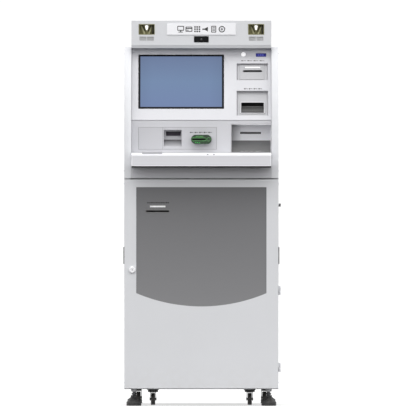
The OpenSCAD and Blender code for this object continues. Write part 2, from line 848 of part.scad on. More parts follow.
// ---------------------------------------------------------------- output

cabinet_shell();
upper_hood();
front_panel();
shelf();
screen_fascia();
header_housing();
sign_plate();
lamp_units();
camera_unit();
status_lamp();
touch_screen();
monitor();
card_outlet();
document_acceptor();
reader_panel();
card_mouth();
card_reader();
receipt_bay();
receipt_printer();
paper_roll();
pin_pad();
id_reader_pad();
card_dispenser();
industrial_pc();
power_supply();
side_handles();
mains_inlet();
power_switch();
front_door();
door_inset();
door_slot_bezel();
front_lock();
rear_door();
rear_lock();
swivel_fork(-1);  // front_left_fork
swivel_fork(1);  // front_right_fork
rear_caster_forks();
caster_wheel(-front_caster_x, front_caster_y + caster_trail);  // front_left_wheel
caster_wheel(front_caster_x, front_caster_y + caster_trail);  // front_right_wheel
caster_wheel(-rear_caster_x, rear_caster_y);  // rear_left_wheel
caster_wheel(rear_caster_x, rear_caster_y);  // rear_right_wheel
foot(-1, foot_y[0]);  // front_left_foot
foot(1, foot_y[0]);  // front_right_foot
foot(-1, foot_y[1]);  // rear_left_foot
foot(1, foot_y[1]);  // rear_right_foot
for (k = KEYS) pad_key(k);
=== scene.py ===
"""Finishes and fine detail for a self-service terminal, on top of its exact model."""

import math

import bmesh
import bpy
from bpy.props import FloatProperty, FloatVectorProperty, IntProperty, PointerProperty
from mathutils import Matrix, Vector


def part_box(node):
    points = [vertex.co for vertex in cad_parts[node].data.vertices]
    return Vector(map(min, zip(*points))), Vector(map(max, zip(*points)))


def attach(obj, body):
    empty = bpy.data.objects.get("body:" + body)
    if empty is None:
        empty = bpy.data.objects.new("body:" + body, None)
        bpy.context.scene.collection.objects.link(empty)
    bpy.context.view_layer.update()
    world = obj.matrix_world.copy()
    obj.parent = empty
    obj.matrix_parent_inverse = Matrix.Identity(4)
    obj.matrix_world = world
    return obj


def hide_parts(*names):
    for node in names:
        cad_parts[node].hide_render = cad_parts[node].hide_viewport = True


bl_info = {
    "name": "Self-service terminal finishes",
    "version": (1, 0, 0),
    "blender": (4, 5, 0),
    "location": "3D View > Sidebar > Terminal",
    "description": "Builds the trim, screens, lamps, marks and finishes of a self-service terminal",
    "category": "Object",
}

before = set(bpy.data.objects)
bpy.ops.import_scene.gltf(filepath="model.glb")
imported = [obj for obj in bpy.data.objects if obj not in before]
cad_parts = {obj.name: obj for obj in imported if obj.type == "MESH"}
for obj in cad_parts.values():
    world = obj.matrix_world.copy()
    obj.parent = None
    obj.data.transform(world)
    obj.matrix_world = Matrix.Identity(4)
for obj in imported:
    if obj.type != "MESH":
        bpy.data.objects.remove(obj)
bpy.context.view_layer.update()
MM = 0.001

# Places in the row frame, in millimetres.
FRONT_Y = -230.0
PANEL_Y = -185.0
HEADER_Y = -120.0
BACK_Y = 330.0
SCREEN_Z = 1189.0
SHELF_TOP = 1051.0
TILT = math.radians(22)
OUTLET_X = 212.5
SIGN_Z, LAMP_X, CAMERA_Z = 1564.25, 227.5, 1522.0
CARD_MOUTH_Z, CARD_MARKS_Z = 1105.5, 1134.4
DOOR_LOCK, REAR_LOCK = (-286.5, 565.0), (-290.0, 1220.0)
COMPUTER_FRONT_Y, FAN = -60.0, (22.0, 150.0)
WHEEL_Z = 27.0
FEET = {"front_left_foot": (-280, -190), "front_right_foot": (280, -190),
        "rear_left_foot": (-280, 290), "rear_right_foot": (280, 290)}
WHEELS = {"front_left_wheel": (-201, -118), "front_right_wheel": (201, -118),
          "rear_left_wheel": (-263.5, 200), "rear_right_wheel": (263.5, 200)}
ON_FASCIA = Matrix.Translation((0, PANEL_Y, SCREEN_Z)) @ Matrix.Rotation(-TILT, 4, "X")
KEYS = [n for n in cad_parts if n.startswith("key_")]
CREASE = 35
DIGIT_KEYS = {"key_%d" % d: str(d) for d in range(10)} | {"key_star": "*", "key_hash": "#"}

# The dome's strength, and its level from straight below (0) through the horizon (0.5) to overhead (1).
DOME = 1.72
SKY = ((0.0, 0.03), (0.49, 0.03), (0.51, 0.9), (1.0, 1.08))
SUN = 0.55
BACKDROP = 1.05
WHITE = (1.0, 1.0, 1.0, 1.0)
# A long lens far in front, in metres, with its sensor and focal length in millimetres.
CAMERA_AT = (0.0317, -40.0, 0.8415)
SENSOR, LENS = 36.0, 826.0


def srgb(red, green, blue):
    """A linear colour from 0 to 255 display values."""
    def line(v):
        v /= 255
        return v / 12.92 if v <= 0.04045 else ((v + 0.055) / 1.055) ** 2.4
    return (line(red), line(green), line(blue), 1.0)


def grey(level):
    return srgb(level, level, level)


def turned(at, degrees, axis):
    """A place at a point, turned about one axis."""
    return Matrix.Translation(at) @ Matrix.Rotation(math.radians(degrees), 4, axis)


# Shapes, in millimetres.

def soften_by(bm, geom, width, segments=2, affect="EDGES"):
    """Rounds edges or corners."""
    return bmesh.ops.bevel(bm, geom=geom, offset=width, offset_type="OFFSET", segments=segments, profile=0.5,
                           affect=affect, material=-1)


def box(bm, low, high, soften=0.0, place=None):
    """Adds a box between two corners, with softened edges."""
    verts = bmesh.ops.create_cube(bm, size=1.0)["verts"]
    bmesh.ops.scale(bm, vec=[b - a for a, b in zip(low, high)], verts=verts)
    bmesh.ops.translate(bm, vec=[(a + b) / 2 for a, b in zip(low, high)], verts=verts)
    if place:
        bmesh.ops.transform(bm, matrix=place, verts=verts)
    if soften:
        soften_by(bm, list({e for v in verts for e in v.link_edges}), soften)


def drum(bm, start, end, radius, end_radius=None, segments=32, soften=0.0, place=None, turn=0.0):
    """Adds a capped cylinder or cone between two points, turned about its own axis."""
    start, end = Vector(start), Vector(end)
    axis = end - start
    matrix = (Matrix.Translation((start + end) / 2) @ axis.to_track_quat("Z", "Y").to_matrix().to_4x4()
              @ Matrix.Rotation(math.radians(turn), 4, "Z"))
    if place:
        matrix = place @ matrix
    verts = bmesh.ops.create_cone(
        bm, cap_ends=True, segments=segments, radius1=radius,
        radius2=radius if end_radius is None else end_radius, depth=axis.length, matrix=matrix)["verts"]
    if soften:
        rims = [e for e in {e for v in verts for e in v.link_edges}
                if any(len(f.verts) > 4 for f in e.link_faces)]
        soften_by(bm, rims, soften)


def lathe(bm, profile, origin, axis, steps=40, place=None):
    """Spins a closed profile of (radius, height) points about an axis through an origin."""
    turn = Matrix.Translation(origin) @ Vector(axis).to_track_quat("Z", "Y").to_matrix().to_4x4()
    if place:
        turn = place @ turn
    verts = [bm.verts.new(turn @ Vector((r, 0, h))) for r, h in profile]
    edges = [bm.edges.new(pair) for pair in zip(verts, verts[1:])]
    if profile[0][0] or profile[-1][0]:
        edges.append(bm.edges.new((verts[-1], verts[0])))
    bmesh.ops.spin(bm, geom=verts + edges, cent=turn.translation, axis=turn.to_3x3() @ Vector((0, 0, 1)),
                   angle=2 * math.pi, steps=steps, use_merge=True, use_duplicate=False)
    bmesh.ops.remove_doubles(bm, verts=bm.verts, dist=0.001)


def sheet_face(bm, x, z, y, radius, place=None):
    """Adds one upright face with rounded corners that looks towards -Y, and returns it."""
    verts = bmesh.ops.create_grid(bm, x_segments=1, y_segments=1, size=0.5)["verts"]
    stand = (Matrix.Translation(((x[0] + x[1]) / 2, y, (z[0] + z[1]) / 2))
             @ Matrix.Diagonal((x[1] - x[0], 1, z[1] - z[0], 1)) @ Matrix.Rotation(math.pi / 2, 4, "X"))
    bmesh.ops.transform(bm, matrix=stand, verts=verts)
    face = verts[0].link_faces[0]
    if radius:
        made = soften_by(bm, verts, radius, 5, "VERTICES")
        face = max((f for v in made["verts"] for f in v.link_faces), key=lambda f: f.calc_area())
    if place:
        bmesh.ops.transform(bm, matrix=place, verts=face.verts)
    return face


def thicken(bm, faces, thickness, soften, place):
    """Gives upright faces a thickness towards -Y of their place and softens the edges on that side."""
    offset = Vector((0, -thickness, 0))
    if place:
        offset = place.to_3x3() @ offset
    made = bmesh.ops.extrude_face_region(bm, geom=faces, use_keep_orig=True)["geom"]
    verts = [v for v in made if isinstance(v, bmesh.types.BMVert)]
    tops = [f for f in made if isinstance(f, bmesh.types.BMFace)]
    bmesh.ops.translate(bm, vec=offset, verts=verts)
    if soften:
        inside = set(tops)
        rims = [e for f in tops for e in f.edges if any(g not in inside for g in e.link_faces)]
        soften_by(bm, list(set(rims)), soften)


def plate(bm, x, z, y, thickness, radius=0.0, soften=0.0, place=None):
    """Adds an upright plate with rounded corners, its back at y and its front at y - thickness."""
    thicken(bm, [sheet_face(bm, x, z, y, radius, place)], thickness, soften, place)


def ring(bm, x, z, y, thickness, border, radius=0.0, soften=0.0, place=None):
    """Adds an upright frame with rounded corners, its back at y and its front at y - thickness."""
    outer = sheet_face(bm, x, z, y, radius, place)
    inner = sheet_face(bm, (x[0] + border, x[1] - border), (z[0] + border, z[1] - border), y,
                       max(radius - border, 0.3 * radius), place)
    edges = list(outer.edges) + list(inner.edges)
    bmesh.ops.delete(bm, geom=[outer, inner], context="FACES_ONLY")
    rim = bmesh.ops.bridge_loops(bm, edges=edges)["faces"]
    thicken(bm, rim, thickness, soften, place)


def screw_head(bm, at, axis, radius):
    """Adds a low domed screw head with a socket."""
    lathe(bm, [(0, 0), (radius, 0), (radius, 0.3 * radius), (0.8 * radius, 0.52 * radius),
               (0.48 * radius, 0.6 * radius), (0.42 * radius, 0.2 * radius), (0, 0.2 * radius)],
          at, axis, 18)


def hex_nut(bm, low, across, height):
    """Adds an upright hexagonal nut with chamfered corners, standing at low."""
    corner, end = across / math.sqrt(3), 0.49 * across
    lathe(bm, [(0, 0), (end, 0), (corner, 1.2), (corner, height - 1.2), (end, height), (0, height)],
          low, (0, 0, 1), 6)


def digit(bm, text, size, place):
    """Adds a thin raised character on the plane of place, centred on its origin."""
    curve = bpy.data.curves.new("digit", "FONT")
    curve.body, curve.size = text, size
    curve.align_x, curve.align_y = "CENTER", "CENTER"
    curve.extrude, curve.resolution_u = 0.06, 4
    holder = bpy.data.objects.new("digit", curve)
    bpy.context.scene.collection.objects.link(holder)
    bpy.context.view_layer.update()
    mesh = bpy.data.meshes.new_from_object(holder.evaluated_get(bpy.context.evaluated_depsgraph_get()))
    mesh.transform(place)
    bm.from_mesh(mesh)
    bpy.data.objects.remove(holder)
    bpy.data.curves.remove(curve)
    bpy.data.meshes.remove(mesh)


def piece(name, bm, coat, body="cabinet", stands_for=()):
    """Turns a bmesh in millimetres into a piece with the finish called coat that rides on a body."""
    bmesh.ops.scale(bm, vec=(MM, MM, MM), verts=bm.verts)
    bmesh.ops.recalc_face_normals(bm, faces=bm.faces)
    mesh = bpy.data.meshes.new(name)
    bm.to_mesh(mesh)
    bm.free()
    mesh.polygons.foreach_set("use_smooth", [True] * len(mesh.polygons))
    mesh.set_sharp_from_angle(angle=math.radians(CREASE))
    made = bpy.data.objects.new(name, mesh)
    bpy.context.scene.collection.objects.link(made)
    mesh.materials.append(finish(coat))
    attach(made, body)
    if stands_for:
        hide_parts(*stands_for)


def one_shape(name, coat, slot, shape, *sizes, body="cabinet", stands_for=(), **more):
    """Makes a piece out of a single shape."""
    bm = bmesh.new()
    shape(bm, *sizes, **more)
    piece(name, bm, coat, body, stands_for)


def dress(node, coat, edge, segments=2):
    """Gives a node of the exact model its finish, and softens its sharp edges by edge millimetres."""
    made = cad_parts[node]
    if not made.data.materials:
        made.data.materials.append(None)
    for socket in made.material_slots:
        socket.link = "OBJECT"
        socket.material = finish(coat)
    weld = made.modifiers.new("weld", "WELD")
    weld.merge_threshold = 0.01 * MM
    soft = made.modifiers.new("soft_edges", "BEVEL")
    soft.width, soft.segments = edge * MM, segments
    soft.limit_method, soft.angle_limit = "ANGLE", math.radians(32)
    soft.miter_outer = "MITER_ARC"
    soft.harden_normals = soft.use_clamp_overlap = True


# Finishes.

def feed(tree, socket, value):
    """Links an output to a socket, or sets a plain value on it."""
    if isinstance(value, bpy.types.NodeSocket):
        tree.links.new(value, socket)
    else:
        socket.default_value = value


def add_node(tree, kind, **inputs):
    """Adds a shader node and feeds the inputs that are named."""
    made = tree.nodes.new("ShaderNode" + kind)
    for label, value in inputs.items():
        feed(tree, made.inputs[label.replace("_", " ")], value)
    return made


def ramped(tree, factor, stops):
    """A colour ramp with the given stops."""
    node = add_node(tree, "ValToRGB", Fac=factor)
    elements = node.color_ramp.elements
    while len(elements) < len(stops):
        elements.new(0.5)
    for element, (position, colour) in zip(elements, stops):
        element.position, element.color = position, colour
    return node.outputs["Color"]


class Finish:
    """A Principled material whose patterns are laid out in Object coordinates."""

    def __init__(self, name, **sockets):
        self.material = bpy.data.materials.new(name)
        self.material.use_nodes = True
        self.tree = self.material.node_tree
        self.surface = self.tree.nodes["Principled BSDF"]
        for label, value in sockets.items():
            self.to(label.replace("_", " "), value)
        self.coords = self.node("TexCoord").outputs["Object"]

    def node(self, kind, **inputs):
        return add_node(self.tree, kind, **inputs)

    def stretched(self, stretch):
        return self.node("Mapping", Scale=stretch, Vector=self.coords).outputs["Vector"]

    def noise(self, scale, detail=2.0, roughness=0.5, stretch=(1, 1, 1)):
        return self.node("TexNoise", Scale=scale, Detail=detail, Roughness=roughness,
                         Vector=self.stretched(stretch)).outputs["Fac"]

    def cells(self, scale):
        return self.node("TexVoronoi", Scale=scale, Vector=self.stretched((1, 1, 1))).outputs["Distance"]

    def axis_ramp(self, axis, start, end):
        """Runs from 0 at start to 1 at end along one axis, in millimetres."""
        split = self.node("SeparateXYZ", Vector=self.coords)
        return self.ranged(split.outputs[axis], start * MM, end * MM, 0.0, 1.0)

    def ranged(self, value, low, high, to_low, to_high):
        return self.node("MapRange", Value=value, From_Min=low, From_Max=high, To_Min=to_low,
                         To_Max=to_high).outputs["Result"]

    def maths(self, operation, first, second):
        node = self.node("Math")
        node.operation = operation
        for socket, value in zip(node.inputs, (first, second)):
            feed(self.tree, socket, value)
        return node.outputs[0]

    def ramp(self, factor, stops):
        return ramped(self.tree, factor, stops)

    def blend(self, factor, first, second):
        node = self.node("Mix")
        node.data_type = "RGBA"
        for place, value in ((0, factor), (6, first), (7, second)):
            feed(self.tree, node.inputs[place], value)
        return node.outputs[2]

    def mottle(self, scale, detail, colour, dark, light, high=0.7):
        """A colour that drifts softly between a darker and a lighter shade of itself."""
        stops = [(0.3, shade(colour, dark)), (high, shade(colour, light))]
        return self.ramp(self.noise(scale, detail), stops)

    def to(self, socket, value):
        feed(self.tree, self.surface.inputs[socket], value)

    def rough(self, scale, detail, low, high):
        """Lets the roughness wander between two values."""
        self.to("Roughness", self.ranged(self.noise(scale, detail), 0.3, 0.7, low, high))

    def relief(self, *layers):
        """Stacks bump layers, each given as (height, strength, depth in millimetres)."""
        normal = None
        for height, strength, depth in layers:
            bump = self.node("Bump", Strength=strength, Distance=depth * MM, Height=height)
            if normal:
                feed(self.tree, bump.inputs["Normal"], normal)
            normal = bump.outputs["Normal"]
        self.to("Normal", normal)


def shade(colour, factor):
    return tuple(min(1.0, c * factor) for c in colour[:3]) + (1.0,)


def coated(made, colour, cover):
    """Powder coat's fleck, roughness and relief under what cover lays over the tone."""
    base = made.mottle(2.3, 3.0, colour, 0.975, 1.02)
    speck = made.ranged(made.noise(1400.0, 1.0), 0.55, 0.75, 0.0, 0.10)
    made.to("Base Color", cover(made.blend(speck, base, shade(colour, 0.86))))
    made.rough(9.0, 4.0, 0.40, 0.52)
    made.relief((made.noise(620.0, 2.0), 0.22, 0.12), (made.noise(90.0, 2.0), 0.05, 0.3))
    return made.material


def powder_coat(name, colour=None):
    """Fine-textured powder coat on sheet steel, a little dusty near the floor."""
    colour = colour or bpy.context.scene.terminal_colours.panels
    made = Finish(name, Specular_IOR_Level=0.45)
    patches = made.ranged(made.noise(38.0, 4.0, 0.65), 0.42, 0.75, 0.0, 0.12)
    dust = made.maths("MULTIPLY", made.axis_ramp(2, 190.0, 70.0), patches)
    return coated(made, colour, lambda tone: made.blend(dust, tone, srgb(168, 160, 150)))


def card_panel_coat(name, colour):
    """Powder coat with painted shade on the scanner niche's sloping floor, darkest at the top of the slope.
    """
    made = Finish(name, Specular_IOR_Level=0.45)
    # Painted shade on the niche's sloping floor, strongest near its top edge and only behind the panel's
    # face.
    slope = made.maths("MULTIPLY", made.axis_ramp(2, 1104.0, 1103.2), made.axis_ramp(2, 1066.0, 1100.0))
    floor = made.maths("MULTIPLY", made.axis_ramp(1, PANEL_Y + 0.4, PANEL_Y + 3.0), slope)
    return coated(made, colour, lambda tone: made.blend(floor, tone, shade(colour, 0.36)))


def moulded(made, tone, rough=(0.36, 0.46), grain=900.0):
    """Puts a tone on the fine spark-eroded grain of moulded plastic."""
    made.to("Base Color", tone)
    made.rough(22.0, 3.0, *rough)
    made.relief((made.noise(grain, 2.0), 0.18, 0.08))
    return made.material


def moulding(name, colour, *details):
    """Moulded plastic of one colour."""
    made = Finish(name, Specular_IOR_Level=0.5)
    return moulded(made, made.mottle(5.0, 3.0, colour, 0.97, 1.015, 0.72), *details)


def bay_moulding(name, colour):
    """Moulded tray, paler than the fascia partly as painted light in its recess, with painted shade making it
    darker towards its left wall.
    """
    made = Finish(name, Specular_IOR_Level=0.5)
    base = made.mottle(5.0, 3.0, colour, 0.97, 1.015, 0.72)
    # Painted shade towards the tray's left wall.
    return moulded(made, made.blend(made.axis_ramp(0, 168.0, 126.0), base, shade(colour, 0.45)))


def two_tone(made, tone, colour, drift):
    """Lets a moulding of several tones drift a little darker in places."""
    patches = made.ranged(made.noise(5.0, 3.0), 0.3, 0.7, 0.0, drift)
    return moulded(made, made.blend(patches, tone, shade(colour, 0.9)))


def shelf_moulding(name, front, pale):
    """The shelf's front is grey between painted highlights on its upper strip, lower edge and ends, with
    painted shade on the top bevel.
    """
    made = Finish(name, Specular_IOR_Level=0.5)
    # Painted highlights on the upper strip, the lower edge and the ends, in the pale tone.
    above = made.maths("MULTIPLY", made.axis_ramp(2, 1036.2, 1036.8), made.axis_ramp(2, 1048.0, 1047.6))
    ends = made.maths("MAXIMUM", made.axis_ramp(0, -285.4, -286.0), made.axis_ramp(0, 285.4, 286.0))
    lower = made.maths("MAXIMUM", above, made.axis_ramp(2, 997.4, 996.8))
    tone = made.blend(made.maths("MAXIMUM", lower, ends), front, pale)
    # Painted shade: a darker band on the top bevel.
    painted_shade_band = made.maths("MULTIPLY", made.axis_ramp(2, 1047.6, 1048.0), made.axis_ramp(2, 1050.9, 1050.7))
    return two_tone(made, made.blend(painted_shade_band, tone, shade(front, 0.5)), front, 0.05)


def fascia_moulding(name, face, top, painted_pocket_shade):
    """Moulded fascia: painted light makes it paler under the header, and painted shade darkens it inside its
    two pockets.
    """
    made = Finish(name, Specular_IOR_Level=0.5)
    inwards = (0.0, math.cos(TILT), -math.sin(TILT))
    dot = made.node("VectorMath")
    dot.operation = "DOT_PRODUCT"
    feed(made.tree, dot.inputs[0], made.coords)
    feed(made.tree, dot.inputs[1], inwards)
    level = (PANEL_Y * inwards[1] + SCREEN_Z * inwards[2]) * MM
    # Painted shade on the floors of the two pockets.
    inside = made.ranged(dot.outputs["Value"], level + 0.8 * MM, level + 4 * MM, 0.0, 1.0)
    # Painted light: the fascia pales towards the header's underside.
    tone = made.blend(made.axis_ramp(2, 1446.0, 1484.0), face, top)
    return two_tone(made, made.blend(inside, tone, painted_pocket_shade), face, 0.06)


def keycap(name, steel, side):
    """Brushed steel on the top of a key; below the top's height the key is dark and not metallic."""
    made = Finish(name)
    lines = made.noise(1800.0, 2.0, 0.6, (0.02, 1, 1))
    top = made.axis_ramp(2, 1055.0, 1055.3)
    metal = made.ramp(lines, [(0.3, shade(steel, 0.88)), (0.7, shade(steel, 1.06))])
    made.to("Metallic", top)
    made.to("Base Color", made.blend(top, side, metal))
    made.to("Roughness", made.ranged(lines, 0.25, 0.75, 0.26, 0.36))
    made.relief((lines, 0.12, 0.05))
    return made.material


def satin_gold(name, colour):
    """Satin reflector sheet: soft, a little uneven, with fine facets."""
    made = Finish(name, Metallic=0.35, Specular_IOR_Level=0.4)
    made.to("Base Color", made.mottle(90.0, 3.0, colour, 0.8, 1.15))
    made.rough(260.0, 2.0, 0.42, 0.58)
    made.relief((made.cells(420.0), 0.2, 0.12))
    return made.material


def dull_black(name, colour):
    """Black glass with an anti-glare face."""
    made = Finish(name, Specular_IOR_Level=0.1)
    made.to("Base Color", made.mottle(9.0, 2.0, colour, 0.8, 1.2))
    made.rough(40.0, 3.0, 0.24, 0.34)
    made.relief((made.noise(800.0, 2.0), 0.08, 0.04))
    return made.material


def inset_paint(name, top, middle, bottom):
    """Metallic paint with painted shade: darker towards the top under the shelf, lighter towards the lower
    edge.
    """
    made = Finish(name, Metallic=0.0, Specular_IOR_Level=0.4)
    # Painted shade from the shelf above, fading towards the lower edge.
    shelf_shade_fade = made.ramp(made.axis_ramp(2, 907.0, 412.0), [(0.0, top), (0.3, middle), (1.0, bottom)])
    flake = made.ranged(made.cells(1500.0), 0.2, 0.7, 0.0, 0.12)
    made.to("Base Color", made.blend(flake, shelf_shade_fade, shade(bottom, 1.25)))
    made.rough(14.0, 3.0, 0.38, 0.46)
    made.relief((made.noise(700.0, 2.0), 0.15, 0.08))
    return made.material


def bare_metal(name, colour, rough, brushed=None, spangle=0.0):
    """Metal: brushed along one axis, or with a zinc spangle."""
    made = Finish(name, Metallic=1.0)
    if brushed:
        stretch = [0.02 if axis == brushed else 1.0 for axis in "XYZ"]
        lines = made.noise(1800.0, 2.0, 0.6, stretch)
    else:
        lines = made.noise(300.0, 3.0)
    tone = made.ramp(lines, [(0.3, shade(colour, 0.88)), (0.7, shade(colour, 1.06))])
    if spangle:
        patches = made.ranged(made.cells(260.0), 0.1, 0.6, 0.0, spangle)
        tone = made.blend(patches, tone, shade(colour, 0.7))
    made.to("Base Color", tone)
    made.to("Roughness", made.ranged(lines, 0.25, 0.75, rough * 0.85, rough * 1.2))
    made.relief((lines, 0.12, 0.05))
    return made.material


def rubbery(name, colour, dusty=0.25):
    """Rubber or nylon with a matt grain and a little floor dust in it."""
    made = Finish(name, Specular_IOR_Level=0.4)
    dust = made.ranged(made.noise(55.0, 5.0, 0.65), 0.45, 0.8, 0.0, dusty)
    made.to("Base Color", made.blend(dust, colour, srgb(120, 114, 106)))
    made.rough(120.0, 3.0, 0.48, 0.7)
    made.relief((made.noise(1100.0, 2.0), 0.25, 0.1))
    return made.material


def glow(name, colour, strength, rough=0.2, detail=0.03):
    """A lit surface with a faint unevenness."""
    made = Finish(name, Roughness=rough, Emission_Strength=strength, Base_Color=shade(colour, 0.5))
    made.to("Emission Color", made.mottle(30.0, 2.0, colour, 1 - detail, 1.0))
    return made.material


def display(name, top, middle, bottom):
    """A lit, blank desktop behind glass: darker towards its edges."""
    made = Finish(name, Base_Color=(0.008, 0.009, 0.012, 1), Roughness=0.2, Emission_Strength=1.0,
                  Specular_IOR_Level=0.1)
    tall = made.ramp(made.axis_ramp(2, 1450.0, 1242.0), [(0.0, top), (0.5, middle), (1.0, bottom)])
    left = made.axis_ramp(0, -255.0, -205.0)
    right = made.axis_ramp(0, 88.0, 30.0)
    sides = made.maths("MULTIPLY", left, right)
    soft = made.blend(made.ranged(sides, 0.0, 1.0, 0.18, 0.0), tall, shade(top, 0.55))
    shimmer = made.ranged(made.noise(6.0, 2.0), 0.3, 0.7, 0.0, 0.05)
    made.to("Emission Color", made.blend(shimmer, soft, shade(bottom, 1.15)))
    made.relief((made.noise(2.0, 1.0), 0.02, 0.1))
    return made.material


def green_lens(name, colour):
    """Clear tinted polycarbonate, lit from inside."""
    made = Finish(name, Roughness=0.12, Transmission_Weight=0.12, IOR=1.45, Emission_Strength=0.06,
                  Coat_Weight=0.35, Coat_Roughness=0.04)
    swirl = made.noise(70.0, 3.0)
    made.to("Base Color", made.ramp(swirl, [(0.3, shade(colour, 0.55)), (0.7, shade(colour, 1.15))]))
    hot = made.ramp(made.noise(55.0, 2.0), [(0.45, shade(colour, 0.05)), (0.75, shade(colour, 0.6))])
    made.to("Emission Color", hot)
    made.relief((swirl, 0.08, 0.4))
    return made.material


def paper(name):
    """White thermal paper with the roll's layers on its ends."""
    made = Finish(name, Roughness=0.72)
    made.to("Base Color", made.ramp(made.noise(400.0, 3.0), [(0.3, grey(232)), (0.7, grey(243))]))
    made.relief((made.noise(900.0, 2.0), 0.2, 0.06))
    return made.material


def tinted_glass(name, colour, rough=0.05):
    """Dark glass over whatever is behind it."""
    made = Finish(name, Specular_IOR_Level=0.6, Coat_Weight=0.3, Coat_Roughness=0.03)
    made.to("Base Color", made.mottle(9.0, 2.0, colour, 0.8, 1.2))
    made.rough(40.0, 3.0, rough, rough * 1.8)
    return made.material


def printed(name, colour):
    """Screen-printed ink."""
    made = Finish(name, Specular_IOR_Level=0.4)
    made.to("Base Color", made.mottle(60.0, 3.0, colour, 0.93, 1.05))
    made.rough(200.0, 2.0, 0.4, 0.55)
    return made.material


RECIPES = {
    "powder_grey": (powder_coat,),
    "door_grey": (powder_coat,),
    "backing_grey": (powder_coat, srgb(196, 196, 200)),
    "card_panel_grey": (card_panel_coat, srgb(187, 187, 191)),
    "white_moulding": (moulding, srgb(203, 203, 206)),
    # The fascia's second tone is painted light under the header, its third painted shade in its pockets.
    "fascia_moulding": (fascia_moulding, srgb(199, 199, 203), srgb(238, 238, 242), srgb(178, 178, 181)),
    # The shelf's second tone is its painted highlight.
    "shelf_moulding": (shelf_moulding, srgb(211, 211, 215), srgb(238, 238, 242)),
    # The tray's pale tone is partly painted light in its recess.
    "bay_moulding": (bay_moulding, srgb(246, 246, 250)),
    "pad_moulding": (moulding, srgb(174, 174, 178)),
    "outlet_grey": (moulding, srgb(176, 176, 179)),
    "shield_grey": (moulding, grey(109), (0.42, 0.55)),
    "tongue_grey": (moulding, grey(72), (0.35, 0.5)),
    "louvre_grey": (moulding, grey(158), (0.4, 0.55)),
    "inset_paint": (inset_paint, srgb(93, 93, 95), srgb(106, 106, 108), srgb(123, 123, 125)),
    "bezel_grey": (moulding, grey(102)),
    "black_plastic": (moulding, srgb(30, 30, 32), (0.4, 0.55)),
    "screen_black": (dull_black, srgb(4, 5, 12)),
    "window_black": (dull_black, srgb(14, 14, 16)),
    "camera_glass": (tinted_glass, srgb(14, 14, 17), 0.04),
    "window_red": (dull_black, srgb(56, 52, 60)),
    "display": (display, srgb(98, 116, 150), srgb(106, 130, 165), srgb(106, 126, 166)),
    "sign_acrylic": (moulding, srgb(241, 241, 244), (0.1, 0.18), 60.0),
    "label_white": (printed, grey(240)),
    "label_blue": (printed, srgb(38, 42, 138)),
    "label_pale_blue": (printed, srgb(84, 88, 190)),
    "ink_dark": (printed, grey(48)),
    "ink_black": (printed, grey(16)),
    "ink_grey": (printed, grey(112)),
    "ink_red": (printed, srgb(196, 48, 40)),
    "ink_yellow": (printed, srgb(214, 176, 46)),
    "ink_green": (printed, srgb(58, 150, 74)),
    "ink_white": (printed, grey(236)),
    "gold_reflector": (satin_gold, srgb(150, 147, 110)),
    "reflector_pale": (satin_gold, srgb(212, 209, 172)),
    "reflector_shade": (satin_gold, srgb(58, 56, 44)),
    "bulb": (glow, (1.0, 0.99, 0.96, 1.0), 1.2),
    "light_strip": (glow, (1.0, 1.0, 1.0, 1.0), 0.75),
    "dome_glow": (glow, (0.98, 0.98, 1.0, 1.0), 0.62),
    "indicator_green": (glow, srgb(60, 220, 90), 1.2),
    "green_lens": (green_lens, srgb(10, 58, 18)),
    "green_rim": (green_lens, srgb(62, 140, 60)),
    "key_steel": (keycap, srgb(214, 215, 217), grey(52)),
    "module_steel": (bare_metal, srgb(186, 188, 190), 0.38, "Y"),
    "lock_chrome": (bare_metal, srgb(214, 214, 216), 0.16),
    "bright_zinc": (bare_metal, srgb(206, 208, 212), 0.26, None, 0.3),
    "black_zinc": (moulding, srgb(12, 12, 13), (0.45, 0.6), 400.0),
    "stem_zinc": (bare_metal, srgb(112, 113, 116), 0.45, None, 0.4),
    "dark_sheet": (powder_coat, grey(64)),
    "wheel_rubber": (rubbery, srgb(38, 37, 37), 0.35),
    "wheel_hub": (moulding, grey(74), (0.4, 0.55)),
    "foot_nylon": (rubbery, srgb(40, 40, 41), 0.2),
    "gasket": (rubbery, srgb(38, 38, 40), 0.05),
    "paper": (paper,),
    "switch_red": (moulding, srgb(150, 30, 26), (0.2, 0.3)),
}
_made = {}


def finish(name):
    """The named material, made the first time it is asked for."""
    if name not in _made:
        recipe, *details = RECIPES[name]
        _made[name] = recipe(name, *details)
    return _made[name]


# Settings.

class TerminalSizes(bpy.types.PropertyGroup):
    sheet_edge: FloatProperty(
        name="Sheet edge", description="Rounding of folded sheet edges, in millimetres",
        default=0.8, min=0.1, max=2.0)
    shelf_edge: FloatProperty(
        name="Shelf edge", description="Rounding of the shelf's nose, in millimetres",
        default=2.2, min=0.5, max=4.0)
    screen_border: FloatProperty(
        name="Screen border", description="Width of the black border round the display, in millimetres",
        default=8.0, min=3.0, max=12.0)
    screw_radius: FloatProperty(
        name="Screw radius", description="Radius of the small screw heads, in millimetres",
        default=3.4, min=2.0, max=5.0)
    grille_slats: IntProperty(
        name="Grille slats", description="Slats in each sound grille", default=4, min=2, max=8)


class TerminalColours(bpy.types.PropertyGroup):
    panels: FloatVectorProperty(
        name="Panels", description="Colour of the powder-coated panels", subtype="COLOR", size=4,
        default=srgb(211, 212, 215), min=0.0, max=1.0)


# Operators.

